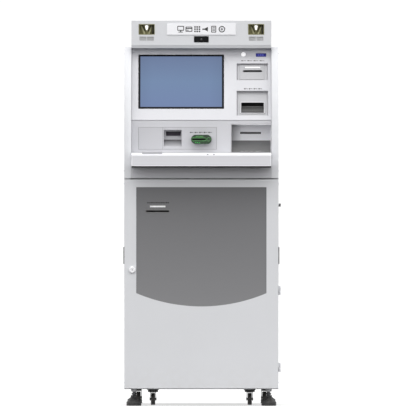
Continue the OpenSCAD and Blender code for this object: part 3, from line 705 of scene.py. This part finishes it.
class TERMINAL_OT_stage(bpy.types.Operator):
    """Set up the floor, the soft light and the camera"""
    bl_idname = "terminal.stage"
    bl_label = "Stage"

    def execute(self, context):
        scene = context.scene
        bm = bmesh.new()
        bmesh.ops.create_circle(bm, cap_ends=True, segments=96, radius=60.0)
        mesh = bpy.data.meshes.new("floor")
        bm.to_mesh(mesh)
        bm.free()
        floor = bpy.data.objects.new("floor", mesh)
        scene.collection.objects.link(floor)
        pale = Finish("floor_pale", Roughness=0.9, Specular_IOR_Level=0.0, Emission_Strength=0.62,
                      Emission_Color=WHITE)
        pale.to("Base Color", pale.ramp(pale.noise(0.8, 2.0), [(0.3, grey(150)), (0.7, grey(156))]))
        mesh.materials.append(pale.material)
        floor.visible_diffuse = False

        world = bpy.data.worlds.new("soft_studio")
        world.use_nodes = True
        tree = world.node_tree
        tree.nodes.clear()
        coords = add_node(tree, "TexCoord").outputs["Generated"]
        split = add_node(tree, "SeparateXYZ", Vector=coords)
        height = add_node(tree, "MapRange", Value=split.outputs[2], From_Min=-1.0).outputs["Result"]
        sky = ramped(tree, height, [(place, (level, level, level, 1)) for place, level in SKY])
        lit = add_node(tree, "Background", Color=sky, Strength=DOME)
        seen = add_node(tree, "Background", Color=WHITE, Strength=BACKDROP)
        switch = add_node(tree, "MixShader", Fac=add_node(tree, "LightPath").outputs["Is Camera Ray"])
        feed(tree, switch.inputs[1], lit.outputs[0])
        feed(tree, switch.inputs[2], seen.outputs[0])
        add_node(tree, "OutputWorld", Surface=switch.outputs[0])
        scene.world = world

        key = bpy.data.lights.new("overhead_soft", "SUN")
        key.energy, key.angle = SUN, math.radians(30)
        lamp = bpy.data.objects.new("overhead_soft", key)
        lamp.rotation_euler = (math.radians(40), math.radians(-6), 0)
        scene.collection.objects.link(lamp)

        lens = bpy.data.cameras.new("front_camera")
        lens.sensor_width, lens.lens = SENSOR, LENS
        lens.clip_start, lens.clip_end = 1.0, 300.0
        camera = bpy.data.objects.new("front_camera", lens)
        camera.location = CAMERA_AT
        camera.rotation_euler = (math.radians(90), 0, 0)
        scene.collection.objects.link(camera)
        scene.camera = camera
        scene.view_settings.view_transform = "Standard"
        return {"FINISHED"}


class TERMINAL_OT_panels(bpy.types.Operator):
    """Coat the cabinet's and the head's sheet-metal panels"""
    bl_idname = "terminal.panels"
    bl_label = "Panels"

    def execute(self, context):
        edge = context.scene.terminal_sizes.sheet_edge
        for node in ("cabinet_shell", "upper_hood", "header_housing"):
            dress(node, "powder_grey", edge)
        # The front panel's grey is a little darker than the other panels: partly its own tone, partly painted
        # shade on the apron under the shelf.
        dress("front_panel", "backing_grey", edge)
        dress("reader_panel", "card_panel_grey", edge)
        for node in ("front_door", "rear_door"):
            dress(node, "door_grey", edge)
        dress("screen_fascia", "fascia_moulding", 1.0)
        dress("shelf", "shelf_moulding", context.scene.terminal_sizes.shelf_edge, 3)
        dress("id_reader_pad", "pad_moulding", 0.8)
        dress("receipt_bay", "bay_moulding", 0.8)
        # A dark rubber strip along the apron under the shelf's nose: partly a seal, partly painted shadow
        # where the shelf shades the apron.
        one_shape("shelf_seal_and_painted_shadow", "gasket", "wheel_rubber", box,
                  (-289.0, FRONT_Y - 2.4, 988.6), (289.0, FRONT_Y + 0.1, 993.9), 0.6)
        return {"FINISHED"}


class TERMINAL_OT_screen(bpy.types.Operator):
    """Build the screen's black border and its lit display"""
    bl_idname = "terminal.screen"
    bl_label = "Touch screen"

    def execute(self, context):
        border = context.scene.terminal_sizes.screen_border
        x, v = (-261.5, 93.5), (48.0, 291.0)
        one_shape("screen_border", "screen_black", "screen_glass", ring,
                  x, v, 3.5, 4.1, border, 2.0, 0.5, ON_FASCIA, stands_for=("touch_screen",))
        one_shape("screen_display", "display", "screen_glass", plate,
                  (x[0] + border - 1, x[1] - border + 1), (v[0] + border - 1, v[1] - border + 1), 3.2, 3.2,
                  0.0, 0.0, ON_FASCIA)
        dress("monitor", "dark_sheet", 1.0)
        return {"FINISHED"}


class TERMINAL_OT_outlets(bpy.types.Operator):
    """Build the card and document outlets, their light strip, lamp and labels"""
    bl_idname = "terminal.outlets"
    bl_label = "Outlets"

    def execute(self, context):
        dress("card_outlet", "outlet_grey", 0.6)
        dress("document_acceptor", "black_plastic", 0.6)
        dress("status_lamp", "dome_glow", 0.3)
        one_shape("outlet_light_strip", "light_strip", "lamp_dome", plate,
                  (181, 245), (235.4, 239.4), 9.5, 1.0, 1.8, 0.3, ON_FASCIA)
        one_shape("card_slot_lips", "window_black", "black_plastic", ring,
                  (173.0, 252.0), (1385.0, 1394.4), -91.5, 3.0, 1.5, 4.2, 0.4)
        bm = bmesh.new()
        box(bm, (174, -92.0, 1385.9), (251, -58.3, 1386.3))
        box(bm, (174, -92.0, 1393.1), (251, -58.3, 1393.5))
        piece("card_slot_liner", bm, "window_black")
        one_shape("status_lamp_ring", "white_moulding", "outlet_grey", lathe,
                  [(10.05, 0.0), (12.3, 0.0), (12.1, 0.8), (11.3, 1.3), (10.3, 1.2), (10.05, 0.8)],
                  (175.0, 0, 292.3), (0, -1, 0), 48, place=ON_FASCIA)
        one_shape("document_mouth_frame", "white_moulding", "outlet_grey", ring,
                  (162.0, 263.0), (31.0, 84.0), 13.0, 0.6, 3.3, 2.5, 0.2, ON_FASCIA)
        # The tongue's ribbed cover follows the slope from the mouth's lower edge up to the ridge.
        slope = turned((OUTLET_X, -155.0, 1220.0), 42.4, "X")
        bm = bmesh.new()
        box(bm, (-46.2, -0.5, 0), (46.2, 30.0, 0.9), 0.3, place=slope)
        for i in range(9):
            box(bm, (-38 + i * 9.5 - 1, 2, 0.8), (-38 + i * 9.5 + 1, 29, 2.0), 0.5, place=slope)
        piece("document_tongue_ribs", bm, "tongue_grey")
        one_shape("document_tongue_ridge", "shield_grey", "black_plastic", box,
                  (166.3, -132.6, 1240.4), (258.7, -97, 1242.9), 0.6)
        one_shape("blue_label", "label_blue", "sign_acrylic", plate,
                  (226.6, 269.4), (281.6, 297.6), 0.0, 0.35, 0.8, 0.1, ON_FASCIA)
        bm = bmesh.new()
        for x in (234.0, 243.0, 252.0):
            plate(bm, (x, x + 7.4), (285.2, 294.0), -0.3, 0.15, 1.2, 0, ON_FASCIA)
        piece("blue_label_blocks", bm, "label_pale_blue")
        # Plain marks above each outlet: card or sheet outlines, each with an arrow and a bar.
        for name, v, start, pitch, ink in (("card_marks", 264.0, 166.0, 25.6, "ink_grey"),
                                           ("document_marks", 137.2, 177.5, 19.8, "ink_dark")):
            bm = bmesh.new()
            for i in range(4):
                x = start + i * pitch
                bar, tip = (x + pitch * 0.38, x + pitch * 0.62), x + pitch * 0.68
                plate(bm, (x, x + pitch * 0.32), (v - 2.4, v + 2.4), 0.0, 0.12, 0.9, 0, ON_FASCIA)
                plate(bm, bar, (v - 1.1, v + 1.1), 0.0, 0.12, 0, 0, ON_FASCIA)
                drum(bm, (tip, -0.02, v), (tip, -0.12, v), 2.5, segments=3, place=ON_FASCIA, turn=90)
            piece(name, bm, ink)
        return {"FINISHED"}


def tile(bm, cx, cz, kind):
    """Adds one plain pictogram to the sign, about 28 mm across."""
    y, thick = HEADER_Y - 3.0, 0.3

    def bar(x0, x1, z0, z1, radius=0.0):
        plate(bm, (cx + x0, cx + x1), (cz + z0, cz + z1), y, thick, radius)

    def outline(x0, x1, z0, z1, border=3.2, radius=2.4):
        ring(bm, (cx + x0, cx + x1), (cz + z0, cz + z1), y, thick, border, radius)

    if kind == "card":
        outline(-14, 14, -10.5, 10.5)
        bar(-11.2, 11.2, 1.2, 5.2)
        bar(-9.5, -1, -5.4, -2.6)
    elif kind == "arrow":
        bar(-13, 2, -2.6, 2.6)
        drum(bm, (cx + 4.5, y, cz), (cx + 4.5, y - thick, cz), 11.5, segments=3, turn=90)
    elif kind == "keys":
        for i in range(3):
            for j in range(3):
                bar(-12.4 + i * 9.2, -6 + i * 9.2, -12.4 + j * 9.2, -6 + j * 9.2, 1.2)
    elif kind == "screen":
        outline(-14, 14, -6, 13.5)
        bar(-2.4, 2.4, -11, -5.8)
        bar(-9, 9, -13.6, -10.6)
    elif kind == "receipt":
        outline(-10.5, 10.5, -13.8, 13.8)
        for z in (-7.4, -1.4, 4.6):
            bar(-5.4, 5.4, z, z + 2.9)
    else:
        lathe(bm, [(9.6, 0), (9.6, thick), (13.4, thick), (13.4, 0)], (cx, y, cz), (0, -1, 0), 32)
        bar(-1.6, 1.6, -6, 6)
        bar(-5, 5, -1.6, 1.6)


class TERMINAL_OT_header(bpy.types.Operator):
    """Build the header's sign, lamps, sound grilles and camera"""
    bl_idname = "terminal.header"
    bl_label = "Header"

    def execute(self, context):
        dress("sign_plate", "sign_acrylic", 0.6)
        dress("camera_unit", "window_black", 0.5)
        dress("lamp_units", "gold_reflector", 0.3)
        bm = bmesh.new()
        for i, kind in enumerate(("screen", "card", "keys", "arrow", "receipt", "coin")):
            tile(bm, -86.0 + i * 34.3, SIGN_Z, kind)
        piece("sign_pictograms", bm, "ink_dark")
        one_shape("camera_ring", "window_black", "black_plastic", lathe,
                  [(9.6, 0), (9.6, 0.5), (7.4, 0.7), (7.0, 0.2), (4.2, 0.1)], (0, HEADER_Y - 1.0, CAMERA_Z),
                  (0, -1, 0))
        one_shape("camera_lens", "camera_glass", "black_plastic", lathe,
                  [(0, -0.3), (4.2, -0.3), (4.2, 0.0), (3.4, 0.5), (1.8, 0.85), (0, 0.95)],
                  (0, HEADER_Y - 1.0, CAMERA_Z), (0, -1, 0))
        slats = context.scene.terminal_sizes.grille_slats
        for side, sign in (("left", -1), ("right", 1)):
            cx = sign * LAMP_X
            # The pale wings and the dark plates are lighter and darker copies of the reflector's gold:
            # painted light and painted shade inside the lamp box.
            bm = bmesh.new()
            for wing in (-1, 1):
                lean = (turned((cx + wing * 15.0, HEADER_Y + 36, 1563.0), wing * 21, "Y")
                        @ turned((0, 0, 0), wing * -30, "Z"))
                box(bm, (-4.2, -0.4, -18.5), (4.2, 0.4, 15.0), 0.2, place=lean)
            piece(side + "_lamp_wings", bm, "reflector_pale")
            bm = bmesh.new()
            for wing in (-1, 1):
                lean = turned((cx + wing * 12.5, HEADER_Y + 30, 1569.0), wing * 25, "Y")
                box(bm, (-2.2, -0.4, -15.0), (2.2, 0.4, 13.0), 0.2, place=lean)
            box(bm, (cx + 22.5, HEADER_Y + 30.0, 1544.5), (cx + 30.5, HEADER_Y + 30.8, 1582.5), 0.2)
            piece(side + "_lamp_painted_shade", bm, "reflector_shade")
            one_shape(side + "_lamp_bulb", "bulb", "lamp_dome", lathe,
                      [(0, 14.5), (5.6, 14.5), (6.5, 12.5), (6.2, 8.5), (4.5, 2.0), (2.8, -3.0),
                      (1.6, -4.6), (0, -5.2)], (cx, HEADER_Y + 20, 1565.5), (0, 0, 1))
            one_shape(side + "_lamp_holder", "bright_zinc", "reflector", lathe,
                      [(0, 1.3), (8.4, 1.3), (8.8, 0.0), (8.8, -2.4), (7.9, -2.8), (0, -2.8)],
                      (cx, HEADER_Y + 20, 1582.0), (0, 0, 1))
            one_shape(side + "_lamp_rim", "gold_reflector", "reflector", ring,
                      (cx - 33.2, cx + 33.2), (1541.8, 1585.2), HEADER_Y - 0.4, 0.5, 1.4, 0.8, 0.1)
            bm = bmesh.new()
            for gx in (cx - 15.8, cx + 15.8):
                ring(bm, (gx - 14.3, gx + 14.3), (1517.1, 1533.5), HEADER_Y, 0.5, 0.8, 1.0, 0.1)
                pitch = 14.0 / slats
                for i in range(slats):
                    z = 1518.3 + (i + 0.5) * pitch
                    half = pitch * 0.33
                    box(bm, (gx - 13.6, HEADER_Y - 0.5, z - half), (gx + 13.6, HEADER_Y + 0.3, z + half), 0.2)
            piece(side + "_sound_grille", bm, "louvre_grey")
        return {"FINISHED"}


class TERMINAL_OT_card_panel(bpy.types.Operator):
    """Build the scanner's window and the green card mouth"""
    bl_idname = "terminal.card_panel"
    bl_label = "Card panel"

    def execute(self, context):
        dress("card_mouth", "green_lens", 1.6, 3)
        dress("card_reader", "dark_sheet", 0.8)
        one_shape("scanner_window", "window_red", "black_plastic", plate,
                  (-147, -86.5), (1120.5, 1138.5), PANEL_Y + 36.0, 2.4, 1.0, 0.3)
        one_shape("scanner_window_frame", "outlet_grey", "outlet_grey", ring,
                  (-149.4, -84.1), (1118.1, 1140.9), PANEL_Y + 34.6, 0.8, 2.4, 1.5, 0.2)
        # A dark strip at the top of the scanner niche's ramp: painted shadow along the step there.
        one_shape("scanner_ramp_painted_shadow", "gasket", "dark_grey_plastic", box,
                  (-155.8, PANEL_Y + 33.0, 1102.4), (-82.2, PANEL_Y + 34.6, 1104.4), 0.3)
        bm = bmesh.new()
        for x in (-260.5, -160.5, 62.5):
            box(bm, (x - 0.5, PANEL_Y - 1.25, 1064), (x + 0.5, PANEL_Y - 1.1, 1156))
        for z in (1064.5, 1155.2):
            box(bm, (-261, PANEL_Y - 1.26, z - 0.4), (63, PANEL_Y - 1.1, z + 0.4))
        piece("card_panel_grooves", bm, "ink_grey")
        rim = PANEL_Y - 34.0
        # The ring beside the mouth and the lips and plate round its slot are a paler copy of the green lens:
        # painted highlights.
        one_shape("card_mouth_ring", "green_rim", "green_translucent", lathe,
                  [(6.2, 0.4), (6.2, 1.1), (7.2, 1.6), (8.2, 1.1), (8.2, 0.4)], (30, rim, CARD_MOUTH_Z),
                  (0, -1, 0))
        bm = bmesh.new()
        ring(bm, (-41, 21), (1098, 1113), rim + 0.2, 1.1, 2.6, 6.0, 0.5)
        plate(bm, (-24, 9), (1113.6, 1119.6), rim + 0.2, 1.0, 2.0, 0.4)
        piece("card_mouth_highlight_lips", bm, "green_rim")
        bm = bmesh.new()
        for z in (1102.78, 1107.95):
            box(bm, (-37.9, rim + 0.5, z), (17.9, PANEL_Y + 4, z + 0.27))
        piece("card_mouth_throat", bm, "black_plastic")
        bm = bmesh.new()
        for cx in (-24.0, -16.0, -8.0):
            drum(bm, (cx, rim + 0.05, 1091.5), (cx, rim - 0.45, 1091.5), 1.4, 1.1, 12)
        piece("card_mouth_diodes", bm, "indicator_green")
        bm = bmesh.new()
        for i in range(5):
            x = -47.0 + i * 19.0
            plate(bm, (x, x + 6.0), (1132.0, 1136.8), PANEL_Y - 1.2, 0.12, 0.9)
            plate(bm, (x + 7.4, x + 11.2), (1133.4, 1135.4), PANEL_Y - 1.2, 0.12)
            tip = x + 12.6
            drum(bm, (tip, PANEL_Y - 1.2, CARD_MARKS_Z), (tip, PANEL_Y - 1.32, CARD_MARKS_Z), 2.2,
                 segments=3, turn=90)
        piece("card_mouth_marks", bm, "ink_dark")
        return {"FINISHED"}


class TERMINAL_OT_receipt(bpy.types.Operator):
    """Build the receipt slot's lips, the printer's trim and the paper"""
    bl_idname = "terminal.receipt"
    bl_label = "Receipt printer"

    def execute(self, context):
        back = PANEL_Y + 80.0
        dress("receipt_printer", "dark_sheet", 0.8)
        dress("paper_roll", "paper", 0.4)
        one_shape("receipt_slot_lips", "bay_moulding", "white_moulding", ring,
                  (158.5, 250.5), (1126.4, 1139.6), back - 2.0, 1.4, 2.4, 3.0, 0.4)
        one_shape("receipt_slot_flap", "tongue_grey", "dark_grey_plastic", box,
                  (161.4, back - 1.4, 1130.4), (247.6, back - 0.6, 1137.4), 0.2)
        bm = bmesh.new()
        for i in range(24):
            x = 164.0 + i * 3.4
            drum(bm, (x, back + 0.2, 1137.4), (x, back + 0.2, 1135.9), 1.5, 0.2, 4)
        piece("paper_cutter", bm, "bright_zinc")
        bm = bmesh.new()
        for x in (155.4, 253.6):
            drum(bm, (x, 22, 1127), (x + math.copysign(4.2, x - 204), 22, 1127), 10.5, soften=0.8)
        piece("spindle_caps", bm, "outlet_grey")
        return {"FINISHED"}


class TERMINAL_OT_keypad(bpy.types.Operator):
    """Finish the keypad and put the digits and marks on its keys"""
    bl_idname = "terminal.keypad"
    bl_label = "Keypad"

    def execute(self, context):
        dress("pin_pad", "shield_grey", 0.5)
        marks = {"key_cancel": "ink_red", "key_clear": "ink_yellow", "key_enter": "ink_green"}
        for key in KEYS:
            dress(key, "key_steel", 0.5)
            low, high = (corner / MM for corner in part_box(key))
            cx, cy, top = (low.x + high.x) / 2, (low.y + high.y) / 2, high.z
            bm = bmesh.new()
            if key in marks:
                box(bm, (cx - 9, cy - 3.4, top - 0.1), (cx + 9, cy + 3.4, top + 0.12), 0.0)
                piece(key + "_mark", bm, marks[key], body=key)
                bm = bmesh.new()
                if key == "key_cancel":
                    for turn in (45, -45):
                        cross = turned((cx, cy, top), turn, "Z")
                        box(bm, (-2.6, -0.45, 0.05), (2.6, 0.45, 0.2), place=cross)
                elif key == "key_clear":
                    box(bm, (cx - 1.6, cy - 0.45, top + 0.05), (cx + 3.4, cy + 0.45, top + 0.2))
                    drum(bm, (cx - 2.2, cy, top + 0.05), (cx - 2.2, cy, top + 0.2), 1.9, segments=3, turn=90)
                else:
                    lathe(bm, [(1.5, 0.05), (1.5, 0.2), (2.5, 0.2), (2.5, 0.05)], (cx, cy, top),
                          (0, 0, 1), 24)
                piece(key + "_sign", bm, "ink_white", body=key)
            else:
                digit(bm, DIGIT_KEYS[key], 9.0, Matrix.Translation((cx, cy, top + 0.06)))
                if key == "key_5":
                    drum(bm, (cx, cy - 5.2, top), (cx, cy - 5.2, top + 0.4), 0.7, 0.4, 12)
                piece(key + "_digit", bm, "ink_dark", body=key)
        bm = bmesh.new()
        for x in (150.5, 257.5):
            for y in (-295.5, -214.5):
                screw_head(bm, (x, y, SHELF_TOP + 0.9), (0, 0, 1), 1.5)
        piece("keypad_screws", bm, "bright_zinc")
        bm = bmesh.new()
        top = SHELF_TOP + 4.0
        flat = Matrix.Translation((-204, -262, top)) @ Matrix.Rotation(-math.pi / 2, 4, "X")
        ring(bm, (-24, 24), (-15, 15), 0.0, 0.15, 1.0, 4.0, 0.0, flat)
        plate(bm, (-20, 20), (6, 10), 0.0, 0.15, 0, 0, flat)
        piece("card_pad_mark", bm, "ink_grey")
        bm = bmesh.new()
        for x in (26.0, 52.0):
            nose = Matrix.Translation((x, -323.0, 1042.5)) @ Matrix.Rotation(math.atan2(10, 28), 4, "X")
            box(bm, (-3.8, -5.0, -0.05), (3.8, 5.0, 0.15), place=nose)
        piece("shelf_marks", bm, "ink_dark")
        return {"FINISHED"}


class TERMINAL_OT_front_door(bpy.types.Operator):
    """Finish the front door: inset, slot, label, lock and hinges"""
    bl_idname = "terminal.front_door"
    bl_label = "Front door"

    def execute(self, context):
        dress("door_inset", "inset_paint", 0.3)
        dress("door_slot_bezel", "bezel_grey", 0.4)
        dress("front_lock", "lock_chrome", 0.4)
        dress("rear_lock", "lock_chrome", 0.4)
        face = FRONT_Y + 1.5
        one_shape("slot_label", "label_white", "sign_acrylic", plate,
                  (-213, -149), (823.6, 830.4), face, 0.25, 0.8, 0.05, body="front_door")
        bm = bmesh.new()
        for i in range(13):
            tall = (5.6, 4.4, 6.2)[i % 3]
            plate(bm, (-224.0 + i * 7.0, -219.3 + i * 7.0), (840.0, 840.0 + tall), face, 0.15, 0.4)
        piece("slot_marks", bm, "ink_black", "front_door")
        one_shape("lock_collar", "lock_chrome", "lock_chrome", lathe,
                  [(7.15, 0.0), (7.3, 0.8), (8.4, 1.2), (11.4, 1.0), (12.5, 0.2), (12.6, 0.0)],
                  (DOOR_LOCK[0], FRONT_Y - 7.0, DOOR_LOCK[1]), (0, -1, 0), body="front_door")
        one_shape("lock_keyway", "gasket", "lock_chrome", box,
                  (-0.55, FRONT_Y - 7.55, -3.4), (0.55, FRONT_Y - 7.35, 3.4),
                  place=Matrix.Translation((DOOR_LOCK[0], 0, DOOR_LOCK[1])), body="front_lock")
        one_shape("upper_hinge_cap", "black_plastic", "black_plastic", drum,
                  (324.8, -209, 833.4), (324.8, -209, 839.2), 4.75, soften=0.5, body="front_door")
        one_shape("upper_hinge_socket", "black_plastic", "black_plastic", drum,
                  (324.8, -209, 826.8), (324.8, -209, 832.6), 4.75, soften=0.5)
        # A rubber seal inside the door's rim, and two folded stiffeners behind the inset.
        one_shape("door_seal", "gasket", "wheel_rubber", ring,
                  (-316.5, 316.5), (76.5, 935.5), FRONT_Y + 19.5, 3.5, 7.0, 3.0, 1.2, body="front_door")
        bm = bmesh.new()
        for z in (250.0, 700.0):
            for half, inner, outer, low, high in ((262, 3.6, 5.0, -20, -8), (262, 3.6, 5.0, 8, 20),
                                                  (261.7, 4.6, 15, -8.9, -7.5), (261.7, 4.6, 15, 7.5, 8.9),
                                                  (262, 13.8, 15.2, -9, 9)):
                box(bm, (-half, FRONT_Y + inner, z + low), (half, FRONT_Y + outer, z + high), 0.4)
        piece("door_stiffeners", bm, "door_grey", "front_door")
        return {"FINISHED"}


class TERMINAL_OT_sides_and_back(bpy.types.Operator):
    """Finish the handles, the mains inlet and the rear door, and fit the panel screws"""
    bl_idname = "terminal.sides_and_back"
    bl_label = "Sides and back"

    def execute(self, context):
        radius = context.scene.terminal_sizes.screw_radius
        dress("side_handles", "black_plastic", 1.2)
        dress("mains_inlet", "black_plastic", 0.6)
        dress("power_switch", "switch_red", 0.5)
        bm = bmesh.new()
        for side in (-1, 1):
            for y in (-8.0, 88.0):
                for z in (605.0, 640.0):
                    screw_head(bm, (side * 295.9, y, z), (side, 0, 0), 2.6)
        piece("handle_screws", bm, "lock_chrome")
        bm = bmesh.new()
        for side in (-1, 1):
            for y in (-190.0, 60.0, 300.0):
                for z in (96.0, 922.0):
                    screw_head(bm, (side * 319.9, y, z), (side, 0, 0), radius)
            for y, z in ((-200, 975), (40, 975), (290, 975), (290, 1465), (40, 1465)):
                screw_head(bm, (side * 319.9, y, z), (side, 0, 0), radius)
        for x in (-300.0, 0.0, 300.0):
            for z in (96.0, 930.0):
                screw_head(bm, (x, BACK_Y - 0.1, z), (0, 1, 0), radius)
        piece("panel_screws", bm, "bright_zinc")
        one_shape("rear_lock_collar", "lock_chrome", "lock_chrome", lathe,
                  [(7.15, 0.0), (7.3, 0.3), (8.4, 0.48), (11.4, 0.4), (12.5, 0.1), (12.6, 0.0)],
                  (REAR_LOCK[0], BACK_Y + 7.0, REAR_LOCK[1]), (0, 1, 0), body="rear_door")
        bm = bmesh.new()
        for dx, dz in ((-6.5, 2.6), (6.5, 2.6), (0, -2.6)):
            x, z = -215 + dx, 130 + dz
            box(bm, (x - 1, BACK_Y - 15.6, z - 2), (x + 1, BACK_Y - 3.0, z + 2), 0.4)
        piece("inlet_pins", bm, "bright_zinc")
        bm = bmesh.new()
        for x in (-233.5, -166.5):
            screw_head(bm, (x, BACK_Y + 1.9, 130), (0, 1, 0), 2.0)
        piece("inlet_screws", bm, "bright_zinc")
        one_shape("rating_plate", "bright_zinc", "key_steel", box,
                  (-100, BACK_Y - 0.05, 100), (-20, BACK_Y + 0.35, 150), 0.15)
        # Fine dust mesh behind each field of vents.
        bm = bmesh.new()
        for x in (-120.0, 120.0):
            box(bm, (x - 82, BACK_Y - 3.4, 610), (x + 82, BACK_Y - 2.2, 826), 0.3)
        piece("cabinet_vent_filters", bm, "gasket")
        bm = bmesh.new()
        for x in (-130.0, 130.0):
            box(bm, (x - 82, BACK_Y - 3.6, 1322), (x + 82, BACK_Y - 2.2, 1446), 0.3)
        piece("door_vent_filters", bm, "gasket", "rear_door")
        return {"FINISHED"}


class TERMINAL_OT_modules(bpy.types.Operator):
    """Finish the modules inside the cabinet and the head"""
    bl_idname = "terminal.modules"
    bl_label = "Modules inside"

    def execute(self, context):
        dress("industrial_pc", "dark_sheet", 0.8)
        dress("power_supply", "dark_sheet", 0.8)
        dress("card_dispenser", "module_steel", 0.6)
        bm = bmesh.new()
        front = COMPUTER_FRONT_Y
        hub = (FAN[0], front, FAN[1])
        lathe(bm, [(27, 0), (27, 1.6), (30, 2.2), (33, 1.6), (33, 0)], hub, (0, -1, 0), 40)
        for r in (8.0, 15.0, 21.5):
            lathe(bm, [(r, 0.4), (r, 1.4), (r + 1.4, 1.4), (r + 1.4, 0.4)], hub, (0, -1, 0), 32)
        for turn in range(4):
            box(bm, (-0.8, -1.2, 7), (0.8, -0.2, 28), place=turned(hub, 45 + 90 * turn, "Y"))
        piece("computer_fan_guard", bm, "bright_zinc")
        bm = bmesh.new()
        for x in (-245, -222, -199):
            box(bm, (x, front - 0.8, 86), (x + 18, front + 0.2, 94), 0.3)
        piece("computer_ports", bm, "module_steel")
        bm = bmesh.new()
        for x in (228, 262):
            box(bm, (x - 13, -51.6, 259), (x + 13, -49.9, 281), 0.8)
        piece("power_supply_sockets", bm, "black_plastic")
        bm = bmesh.new()
        for x in (204.0, 209.0):
            drum(bm, (x, -49.8, 282), (x, -51.4, 282), 1.5, 1.2, 12)
        piece("power_supply_indicators", bm, "indicator_green")
        bm = bmesh.new()
        for y in (-30.0, 48.0):
            drum(bm, (163, y + 2, 1400), (261, y + 2, 1400), 5.0, soften=0.6)
        piece("dispenser_rollers", bm, "gasket")
        return {"FINISHED"}


def foot(name, x, y):
    """Builds one levelling foot: ribbed pad, ball joint, threaded stem and lock nut."""
    one_shape(name + "_pad", "foot_nylon", "foot_nylon", lathe,
              [(0, 0), (29.2, 0), (30.6, 0.8), (31, 2.4), (31, 7.0), (30.2, 7.6), (30.2, 8.8), (31, 9.4),
              (31, 15.4), (30.4, 17.0), (27.2, 19.4), (22, 23.0), (14, 29.4), (12.4, 31.2), (10.4, 32.6),
              (8.6, 33), (0, 33)], (x, y, 0), (0, 0, 1), 64, body=name, stands_for=(name,))
    bm = bmesh.new()
    ridges = [(0.0, 30.0), (5.2, 30.0)]
    z = 31.0
    while z < 82.6:
        ridges += [(5.25, z), (5.95, z + 0.45), (5.95, z + 0.6), (5.25, z + 1.05)]
        z += 1.25
    lathe(bm, ridges + [(5.2, 83.2), (4.2, 84.0), (0, 84.0)], (x, y, 0), (0, 0, 1), 28)
    piece(name + "_stem", bm, "stem_zinc", name)
    bm = bmesh.new()
    hex_nut(bm, (x, y, 36.0), 23.2, 8.0)
    piece(name + "_lock_nut", bm, "foot_nylon", name)


def wheel(name, x, y):
    """Builds one caster wheel: a soft tyre on a hub with a recessed web."""
    z = 27.0
    one_shape(name + "_tyre", "wheel_rubber", "wheel_rubber", lathe,
              [(17.5, -8.8), (22.6, -8.9), (24.2, -8.2), (24.9, -6.6), (25.0, -3.0), (25.0, 3.0),
              (24.9, 6.6), (24.2, 8.2), (22.6, 8.9), (17.5, 8.8), (17.2, 7.2), (17.2, -7.2)], (x, y, z),
              (1, 0, 0), 56, body=name, stands_for=(name,))
    bm = bmesh.new()
    lathe(bm, [(4.05, -9), (7.6, -9), (8.4, -8.2), (8.8, -6.2), (16.2, -6.2), (17.2, -7.2), (17.4, 0),
               (17.2, 7.2), (16.2, 6.2), (8.8, 6.2), (8.4, 8.2), (7.6, 9), (4.05, 9)],
          (x, y, z), (1, 0, 0), 40)
    for side in (-1, 1):
        for turn in range(6):
            rib = (turned((x + side * 7.0, y, z), 60 * turn, "X"))
            box(bm, (-0.9, -0.8, 8.2), (0.9, 0.8, 16.8), 0.3, place=rib)
    piece(name + "_hub", bm, "wheel_hub", name)


class TERMINAL_OT_running_gear(bpy.types.Operator):
    """Build the levelling feet and finish the casters"""
    bl_idname = "terminal.running_gear"
    bl_label = "Running gear"

    def execute(self, context):
        for name, place in FEET.items():
            foot(name, *place)
        for name, place in WHEELS.items():
            wheel(name, *place)
        for node in ("front_left_fork", "front_right_fork", "rear_caster_forks"):
            dress(node, "black_zinc", 0.5)
        for name, body, wheels in (("front_left_axle_nuts", "front_left_fork", ("front_left_wheel",)),
                                   ("front_right_axle_nuts", "front_right_fork", ("front_right_wheel",)),
                                   ("rear_axle_nuts", "cabinet", ("rear_left_wheel", "rear_right_wheel"))):
            bm = bmesh.new()
            for x, y in (WHEELS[each] for each in wheels):
                for side in (-1, 1):
                    for start, end, radius, segments, soften in ((12.9, 14.0, 6.4, 6, 0.4),
                                                                 (13.9, 14.5, 3.9, 20, 0.2)):
                        drum(bm, (x + side * start, y, WHEEL_Z), (x + side * end, y, WHEEL_Z), radius,
                             segments=segments, soften=soften)
            piece(name, bm, "black_zinc", body)
        bm = bmesh.new()
        for side in (-1, 1):
            for dx in (-19, 19):
                for dy in (-22, 22):
                    x, y = side * 201 + dx, -140 + dy
                    drum(bm, (x, y, 66.4), (x, y, 63.4), 4.2, segments=6, soften=0.4)
        piece("caster_bolts", bm, "black_zinc")
        return {"FINISHED"}


class TERMINAL_PT_panel(bpy.types.Panel):
    """The terminal's pieces and settings"""
    bl_idname = "TERMINAL_PT_panel"
    bl_label = "Terminal"
    bl_space_type = "VIEW_3D"
    bl_region_type = "UI"
    bl_category = "Terminal"

    def draw(self, context):
        sizes = context.scene.terminal_sizes
        for label in sizes.__annotations__:
            self.layout.prop(sizes, label)
        self.layout.prop(context.scene.terminal_colours, "panels")
        for operator in OPERATORS:
            self.layout.operator(operator.bl_idname)


OPERATORS = (
    TERMINAL_OT_stage, TERMINAL_OT_panels, TERMINAL_OT_screen, TERMINAL_OT_outlets, TERMINAL_OT_header,
    TERMINAL_OT_card_panel, TERMINAL_OT_receipt, TERMINAL_OT_keypad, TERMINAL_OT_front_door,
    TERMINAL_OT_sides_and_back, TERMINAL_OT_modules, TERMINAL_OT_running_gear,
)
CLASSES = (TerminalSizes, TerminalColours) + OPERATORS + (TERMINAL_PT_panel,)


def register():
    for cls in CLASSES:
        bpy.utils.register_class(cls)
    bpy.types.Scene.terminal_sizes = PointerProperty(type=TerminalSizes)
    bpy.types.Scene.terminal_colours = PointerProperty(type=TerminalColours)


def unregister():
    del bpy.types.Scene.terminal_colours
    del bpy.types.Scene.terminal_sizes
    for cls in reversed(CLASSES):
        bpy.utils.unregister_class(cls)


def main():
    register()
    for operator in OPERATORS:
        group, name = operator.bl_idname.split(".")
        getattr(getattr(bpy.ops, group), name)()


if __name__ == "__main__":
    main()
